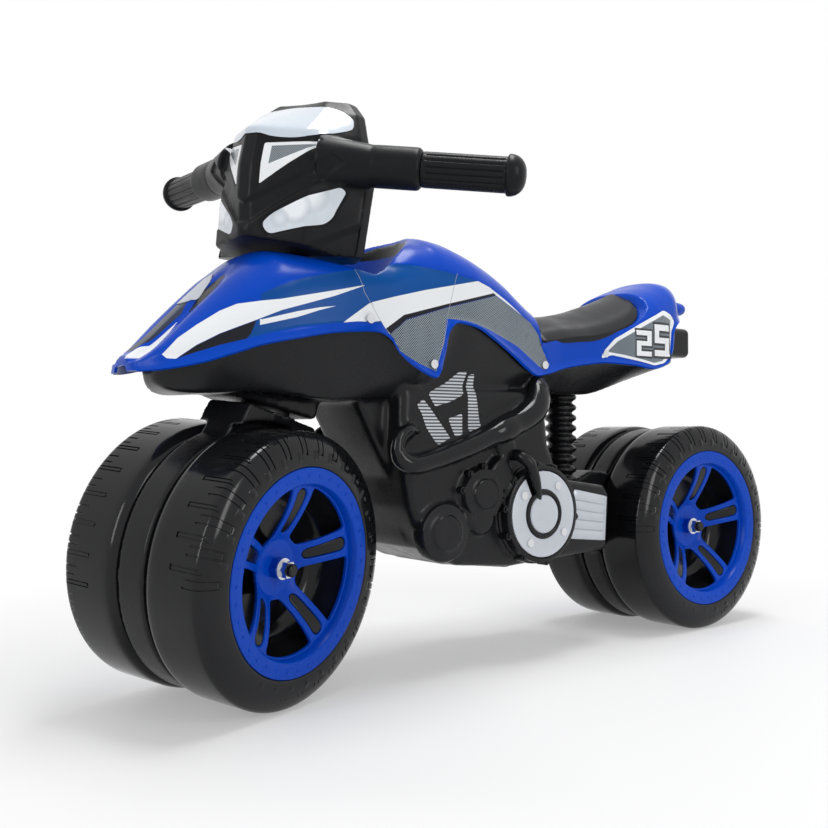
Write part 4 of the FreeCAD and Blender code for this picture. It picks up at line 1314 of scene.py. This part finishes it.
# Prints and plates on the cover and the body, in side view as (place, height)
number_outline = [
    (158.7, 185.5), (155.5, 192.9), (138.5, 207.4), (99.2, 225.8), (57, 244), (45, 240), (38, 233),
    (45.8, 221.4), (49.4, 203.1), (51.1, 192.6), (62, 184.5), (77.7, 181.2), (95.1, 184.2), (126.3, 188.1),
    (143.3, 190.1),
]
number_field_lines = (
    [(148, 195), (134, 205.5), (99, 221.5), (60, 238.5), (47, 234)],
    [(148, 193), (126, 191), (95, 187), (77.7, 184), (64, 187), (54, 195), (50, 212), (47, 233.5)],
)
number_places = {
    "left": ((106, 82, 191, 28, False), (77, 52, 192, 35, True)),
    "right": ((52, 77, 192, 35, False), (82, 106, 191, 28, True)),
}
badge_outline = [(607, -8), (607, 8), (598, 13.5), (584, 10), (577, 0), (584, -10), (598, -13.5)]
fin_outlines = [
    [(408, 132.5), (400.7, 138), (391, 128), (368.8, 102.6), (384, 96), (397, 111.6), (402.6, 125)],
    [(394.6, 143.3), (374.8, 152), (360, 164), (350, 165), (352.7, 143), (369, 136), (387, 131.4),
     (391, 137.4)],
    [(347, 162), (340, 163), (332.4, 113), (347.2, 108)],
    [(371.4, 120.5), (354.5, 125.2), (354.5, 106), (363, 103.5)],
]
ribbed_corners = ((210.0, 0.0), (158.0, -5.0), (155.0, 40.0), (204.0, 49.0))
ribbed_face = 64.2
ribbed_count = 5
rib_height = 1.6
ring_centre = (261.5, 28.0)
ring_face = 76.0
ring_radius = 42.0
ring_hole = 24.2
arm_angle = 64.0
# Round bars through places along, across and up, each with its radius
tube_path = [
    (433, 67, 96, 5.5), (429, 68, 85, 8.2), (416, 70, 79, 9), (392, 70, 83, 9), (364, 71, 91, 9.3),
    (340, 72, 99, 9.7), (326, 72, 104, 10.2), (312, 72, 109, 12.6), (303, 72, 112, 12.9),
    (294, 72, 115.5, 11.8), (282, 72, 121, 12.3), (267, 71, 131, 13.3), (258, 66, 145, 12.8),
    (253, 57, 156, 11.6), (250, 44, 163, 10),
]
loop_path = [
    (408, 64, 109, 3.6), (419, 67, 111, 4.4), (427, 68, 107.5, 4.9), (432, 68, 100, 5.4), (433, 68, 92, 6),
    (430, 68, 86, 7),
]
arm_path = [
    (268, 78, 44, 3), (273, 81, 54, 4.2), (279, 83, 66, 5.2), (285, 83.5, 77, 5.8), (290, 80, 83, 5.8),
    (292, 73, 86, 5.5), (292, 62, 86, 5.5),
]
lip_path = [(-28, 0, 258, 9.5), (-42, 0, 258.5, 9.0), (-53, 0, 259, 7.5)]
# Turned parts of the engine as (radius, distance outwards from the ring's plane)
housing_section = [
    (0.0, -0.3), (42.6, -0.3), (42.8, 1.2), (43.6, 2.0), (46.4, 2.0), (47.4, 1.2), (47.6, -8), (49.4, -9),
    (49.6, -16), (0.0, -16),
]
collar_section = [
    (0.0, 0.0), (23.9, 0.0), (23.7, 3.4), (22.8, 4.3), (20.4, 4.3), (19.6, 3.4), (19.2, 1.5), (0.0, 1.5),
]
cap_section = [(0.0, 0.0), (18.9, 0.0), (18.9, 3.0), (18.0, 3.9), (14.0, 4.2), (0.0, 4.4)]
# Turned parts lower on the engine as (radius, distance from the bike's middle), and where they sit
dish_section = [
    (0.0, 56), (26.8, 56), (27.2, 68.5), (26.0, 70.3), (22.0, 71.0), (18.2, 71.2), (16.8, 72.2), (15.4, 73.8),
    (12.0, 74.2), (8.0, 73.9), (0.0, 73.4),
]
dish_centre = (379.0, 16.0)
lobed_section = [
    (0.0, 56), (24.2, 56), (24.2, 71.8), (23.2, 73.2), (15.0, 73.8), (14.2, 76.0), (13.2, 77.2), (0.0, 77.4),
]
lobed_centre = (334.0, 50.0)
cover_bolts = [(358, 54), (349, 69), (332, 75), (314, 66), (310, 48), (320, 32), (346, 29)]
cover_bolt_face = 71.5
housing_angles = (8, 42, 84, 112, 148, 186, 224, 262, 300, 336)
housing_reach = 47.5
# A bolt as (radius, distance outwards from the face that it stands on)
bolt_section = [(3.9, -12), (3.9, -0.4), (3.2, 0.3), (2.3, 0.3), (2.3, 1.4), (1.9, 1.8), (0.0, 1.8)]
boot_place = 157.0
boot_ends = (50.0, 152.0)
boot_folds = 9
boot_core = 13.0
# One fold as (share of its height, radius)
fold_section = [(0.0, boot_core), (0.12, 13.6), (0.3, 16.8), (0.5, 17.8), (0.7, 16.8), (0.88, 13.6)]


def block_figure(flipped, spread):
    """The outline of a square-cut 2, or flipped a 5, one wide and one high, with its strokes made wider."""
    s = spread
    points = [
        (-s, 1 + s), (1 + s, 1 + s), (1 + s, 0.41 - s), (0.3 + s, 0.41 - s), (0.3 + s, 0.19 + s),
        (1 + s, 0.19 + s), (1 + s, -s), (-s, -s), (-s, 0.59 + s), (0.7 - s, 0.59 + s), (0.7 - s, 0.81 - s),
        (-s, 0.81 - s),
    ]
    return [(1 - u, v) for u, v in points] if flipped else points


def number_print():
    """White plate with a grey field of small holes."""
    material, tree, shader = surface("number_print", Roughness=0.3, Specular_IOR_Level=0.3)
    x, _, z = local_place(tree, to_frame)
    field = hole_field(tree, x, z, 2.3)
    paint = mixed(tree, band(tree, x, z, *number_field_lines), white + (1,), field)
    tree.links.new(paint, shader.inputs["Base Color"])
    return material


def make_number_plates(target):
    """The plates on both sides of the tail with their raised figures."""
    ground = number_print()
    dark = plain_plastic("figure_black", (0.012, 0.013, 0.016), 0.3, wear=0.1)
    pale = plain_plastic("figure_white", white, 0.3, wear=0.03)
    for side, figures in number_places.items():
        outline = rounded(number_outline, 3.0, 3)
        plate = laid_on("number_plate_face_" + side, outline, side, target, to_frame, lift=0.15)
        finished(plate, "frame", "silver_print", ground, "number_plate_" + side)
        for count, (start, end, base, height, flipped) in enumerate(figures):
            for label, spread, lift, material in (("edge", 0.075, 0.55, dark), ("face", 0.0, 0.72, pale)):
                name = "figure_%s_%d_%s" % (label, count, side)
                corners_at = block_figure(flipped, spread)
                outline = [(start + (end - start) * u, base + height * v) for u, v in corners_at]
                figure = laid_on(name, outline, side, target, to_frame, lift, 0.12)
                finished(figure, "frame", "silver_print", material)


def fin_print():
    """Fine level stripes, white and grey."""
    material, tree, shader = surface("fin_print", Roughness=0.35, Specular_IOR_Level=0.3)
    _, _, height = local_place(tree, to_frame)
    wave = calc(tree, "SINE", calc(tree, "MULTIPLY", height, 2 * math.pi / 3.0))
    cloud = noise(tree, place_of(tree), 30.0, 2.0)
    pale = mixed(tree, cloud, (0.50, 0.53, 0.56, 1), (0.74, 0.77, 0.80, 1))
    paint = mixed(tree, ramp(tree, wave, -0.3, 0.2), (0.07, 0.075, 0.085, 1), pale)
    tree.links.new(paint, shader.inputs["Base Color"])
    return material


def make_fins(target):
    """The striped bars on both sides of the engine."""
    stripes = fin_print()
    for side in ("left", "right"):
        for count, outline in enumerate(fin_outlines):
            name = "fin_%d_%s" % (count, side)
            fin = laid_on(name, rounded(outline, 2.0, 2), side, target, to_frame, lift=0.15)
            finished(fin, "frame", "silver_print", stripes, *(["fin_plate_" + side] if count == 0 else []))


def pipe(name, path, around=24, parts=5):
    """A round bar through the places given, each with its own radius."""
    table = np.array(path, dtype=float)
    run = np.concatenate([[0], np.cumsum(np.linalg.norm(np.diff(table[:, :3], axis=0), axis=1))])
    marks = np.linspace(0, run[-1], parts * len(path))
    line = np.stack([curve_through(marks, run, table[:, k]) for k in range(4)], axis=1)
    tangents = np.gradient(line[:, :3], axis=0)
    side = Vector((0.1, 1.0, 0.1))
    rings = []
    for (x, y, z, radius), tangent in zip(line, tangents):
        along = Vector(tangent).normalized()
        side = (side - along * side.dot(along)).normalized()
        over = along.cross(side)
        ring = []
        for k in range(around):
            a = 2 * math.pi * k / around
            ring.append(Vector((x, y, z)) + (side * math.cos(a) + over * math.sin(a)) * radius)
        rings.append(ring)
    tips = []
    for ring, tangent, sign in ((rings[0], tangents[0], -1), (rings[-1], tangents[-1], 1)):
        middle = sum(ring, Vector()) / around
        reach = (ring[0] - middle).length
        for share in (0.5, 0.85, 0.97):
            out = Vector(tangent).normalized() * sign * reach * 0.8 * share
            tips.append([middle + out + (spot - middle) * math.sqrt(1 - share * share) for spot in ring])
    rings = tips[2::-1] + rings + tips[3:]
    return smooth_shaded(drawn_out(name, rings), 50)


def make_ribbed():
    """The silver plate behind the engine with its lengthwise ribs."""
    clear_selection()
    bpy.ops.mesh.primitive_grid_add(x_subdivisions=24, y_subdivisions=90, size=2)
    piece = bpy.context.object
    piece.name = "ribbed"
    places = corners(piece)
    u = (places[:, 0] + 1) / 2
    v = (places[:, 1] + 1) / 2
    corner = np.array(ribbed_corners)
    low = corner[0] + (corner[1] - corner[0]) * u[:, None]
    high = corner[3] + (corner[2] - corner[3]) * u[:, None]
    spot = low + (high - low) * v[:, None]
    rib = np.abs(np.sin(v * math.pi * ribbed_count)) ** 0.55 * eased(u, 0.0, 0.06) * (1 - eased(u, 0.9, 0.97))
    put_corners(piece, np.stack([spot[:, 0], ribbed_face + rib_height * rib, spot[:, 1]], axis=1))
    wall = piece.modifiers.new("wall", "SOLIDIFY")
    wall.thickness = 1.6
    wall.offset = 0
    apply_all(piece)
    face_outwards(piece)
    return smooth_shaded(piece, 60)


def arc(radius, start, end, count):
    """Part of a circle, between two angles in degrees."""
    return [(radius * math.cos(math.radians(a)), radius * math.sin(math.radians(a)))
            for a in np.linspace(start, end, count)]


def make_ring():
    """The silver ring plate with its gap for the arm."""
    outline = arc(ring_radius, arm_angle + 9, arm_angle + 351, 120)
    outline += arc(ring_hole, arm_angle + 344, arm_angle + 16, 90)
    ring = cut_plate("ring", [outline], 1.3, 0.5)
    ring.data.transform(Matrix.Translation((ring_centre[0], ring_face + 1.3, ring_centre[1])))
    return smooth_shaded(ring, 40)


def engine_turning(name, profile, place=ring_centre, steps=72):
    """A turned part of the engine, from (radius, distance from the middle)."""
    part = spun(name, profile, steps, closed=False)
    part.data.transform(Matrix.Translation((place[0], 0, place[1])))
    return smooth_shaded(part, 40)


def out_from(face, section):
    """A section whose distances count from a face, as distances from the middle."""
    return [(radius, face + out) for radius, out in section]


def make_bolts():
    """The bolts round the lobed cover and round the ring."""
    spots = [(x, z, cover_bolt_face) for x, z in cover_bolts]
    for angle in housing_angles:
        a = math.radians(angle)
        x = ring_centre[0] + housing_reach * math.cos(a)
        z = ring_centre[1] + housing_reach * math.sin(a)
        spots.append((x, z, ring_face))
    bolts = [engine_turning("bolt", out_from(face, bolt_section), (x, z), 18) for x, z, face in spots]
    return joined("bolts", bolts)


def make_engine():
    """The pipes, the ring cover with its arm and bolts, and the plates, on both sides."""
    covers = [
        engine_turning("housing", out_from(ring_face, housing_section)),
        engine_turning("collar", out_from(ring_face, collar_section)),
    ]
    cap = engine_turning("cap", out_from(ring_face, cap_section))
    covers.append(engine_turning("dish", dish_section, dish_centre))
    covers.append(engine_turning("lobed", lobed_section, lobed_centre))
    exhaust = [pipe("tube", tube_path), pipe("loop", loop_path)]
    forms = (
        (joined("covers", covers), "engine_covers", "black_plastic", black_plastic, []),
        (joined("pipes", exhaust), "exhaust", "black_plastic", black_gloss, []),
        (pipe("arm", arm_path), "ring_arm", "black_plastic", black_plastic, []),
        (make_bolts(), "engine_bolts", "black_plastic", black_gloss, []),
        (make_ring(), "ring_face", "silver_print", silver_print, ["engine_ring_"]),
        (cap, "cap_face", "silver_print", silver_print, ["engine_cap_"]),
        (make_ribbed(), "ribbed_face", "silver_print", silver_print, ["ribbed_plate_"]),
    )
    for form, label, slot, material, nodes in forms:
        for side, flip in both_sides:
            piece = carried(copy_of(form, label + "_" + side), to_frame @ flip)
            finished(piece, "frame", slot, material, *[n + side for n in nodes])
        bpy.data.objects.remove(form)


def make_boot():
    """The folded boot of the spring."""
    low, high = boot_ends
    step = (high - low) / boot_folds
    profile = [(0.0, low)]
    for k in range(boot_folds):
        for share, radius in fold_section:
            profile.append((radius, low + (k + share) * step))
    profile += [(boot_core, high), (0.0, high)]
    boot = spun("boot", profile, 48, closed=False)
    boot.data.transform(Matrix.Translation((boot_place, 0, 0)) @ Matrix.Rotation(math.radians(90), 4, "X") @
                        Matrix.Diagonal((1, 1, -1, 1)))
    boot.data.flip_normals()
    smooth_shaded(boot, 60)
    piece = carried(copy_of(boot, "boot_folds"), to_frame)
    finished(piece, "frame", "black_plastic", black_plastic, "rear_shock_boot")
    bpy.data.objects.remove(boot)


def make_badge(target):
    """The bare plate on the nose."""
    outline = rounded(badge_outline, 3.0, 3)
    badge = laid_on("badge_plate", outline, "top", target, to_frame, lift=0.2, thick=0.8)
    finished(badge, "frame", "silver_print", silver_print, "nose_badge")


def make_tail_lip():
    """The small blue lip at the very end of the tail."""
    lip = pipe("tail_lip", lip_path)
    finished(carried(lip, to_frame), "frame", "blue_plastic", blue_plastic)


make_tail_lip()
make_number_plates(cover)
make_fins(body)
make_engine()
make_boot()
make_badge(cover)


# Materials for the nodes that stay as they are
kept_nodes = {
    "cover_screws": plated, "engine_screws": plated, "tail_lamp": black_plastic, "steering_tube": dull_steel,
    "steering_bush_lower": bearing, "steering_bush_upper": bearing,
    "rear_axle": dull_steel, "rear_washers": plated, "rear_nuts": plated, "rear_caps": black_gloss,
    "front_axle": dull_steel, "front_washers": plated, "front_nuts": plated, "front_caps": black_gloss,
}
for side in ("left", "right"):
    for end in ("front_", "rear_"):
        kept_nodes["hub_" + end + side] = bearing
for name, material in kept_nodes.items():
    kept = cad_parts[name]
    kept.data.materials.clear()
    kept.data.materials.append(material)


# Studio: how strongly the background lights the bike, and where the floor turns to plain white, in metres
fill_strength = 0.45
fade_start = 0.35
fade_end = 0.8


def make_camera():
    """The camera, tilted with the bike's raised nose."""
    pitch = math.radians(rest_pitch)
    tilt = Matrix.Rotation(-pitch, 3, "Y")
    back = tilt @ Vector(camera_back)
    up_hint = tilt @ Vector((0, 0, 1))
    right = up_hint.cross(back).normalized()
    up = back.cross(right)
    place = to_frame @ Vector(camera_place)
    camera = bpy.data.objects.new("camera", bpy.data.cameras.new("camera"))
    bpy.context.scene.collection.objects.link(camera)
    camera.matrix_world = Matrix((
        (right.x, up.x, back.x, place.x),
        (right.y, up.y, back.y, place.y),
        (right.z, up.z, back.z, place.z),
        (0, 0, 0, 1),
    ))
    camera.data.lens = camera_lens
    camera.data.sensor_width = 36.0
    camera.data.clip_start = 0.01
    bpy.context.scene.camera = camera


def seen_rays(tree):
    """1 for the rays that show the background itself, in the picture or in a surface."""
    ray = node(tree, "ShaderNodeLightPath")
    kinds = ("Is Camera Ray", "Is Glossy Ray", "Is Transmission Ray")
    return either(tree, *[ray.outputs[kind] for kind in kinds])


def make_floor():
    """A pale floor that keeps the shadow near the bike and turns to plain white further out."""
    clear_selection()
    bpy.ops.mesh.primitive_plane_add(size=60.0, location=(0.3, 0, 0))
    floor = bpy.context.object
    floor.name = "floor"
    material, tree, shader = surface("floor", Roughness=0.55, Specular_IOR_Level=0.2)
    place = place_of(tree)
    cloud = noise(tree, place, 2.0, 2.0)
    colour = mixed(tree, cloud, (0.86, 0.86, 0.86, 1), (0.88, 0.88, 0.88, 1))
    tree.links.new(colour, shader.inputs["Base Color"])
    seen = seen_rays(tree)
    far = node(tree, "ShaderNodeVectorMath", {"operation": "LENGTH"}, i0=place).outputs["Value"]
    fade = node(tree, "ShaderNodeMapRange", {"interpolation_type": "SMOOTHSTEP"},
                i0=far, i1=fade_start, i2=fade_end, i3=0.3, i4=1.0)
    glow = node(tree, "ShaderNodeEmission", None, Color=(1, 1, 1, 1), Strength=1.0)
    blend = node(tree, "ShaderNodeMixShader", None, i0=calc(tree, "MULTIPLY", seen, fade.outputs[0]),
                 i1=shader.outputs[0], i2=glow.outputs[0])
    tree.links.new(blend.outputs[0], tree.nodes["Material Output"].inputs[0])
    floor.data.materials.append(material)


def make_world():
    """A white background that lights the bike more weakly than it shows."""
    world = bpy.data.worlds.new("studio")
    world.use_nodes = True
    tree = world.node_tree
    background = tree.nodes["Background"]
    seen = seen_rays(tree)
    strength = ramp(tree, seen, 0.0, 1.0, fill_strength, 1.0)
    tree.links.new(strength, background.inputs["Strength"])
    background.inputs["Color"].default_value = (1, 1, 1, 1)
    bpy.context.scene.world = world


def softbox(name, place, target, size, power):
    """A flat lamp that faces its target."""
    light = bpy.data.lights.new(name, "AREA")
    light.shape = "RECTANGLE"
    light.size, light.size_y = size
    light.energy = power
    lamp = bpy.data.objects.new(name, light)
    bpy.context.scene.collection.objects.link(lamp)
    lamp.location = place
    lamp.rotation_euler = (Vector(target) - Vector(place)).to_track_quat("-Z", "Y").to_euler()


make_camera()
make_floor()
make_world()
softbox("over", (0.1, 0.1, 2.0), (0.28, 0, 0.2), (1.1, 0.5), 24.0)
softbox("left", (0.0, 2.2, 0.9), (0.3, 0, 0.25), (0.5, 1.2), 12.0)
softbox("front", (2.4, 0.4, 0.9), (0.4, 0, 0.3), (0.5, 1.0), 10.0)

bpy.context.scene.view_settings.view_transform = "Standard"
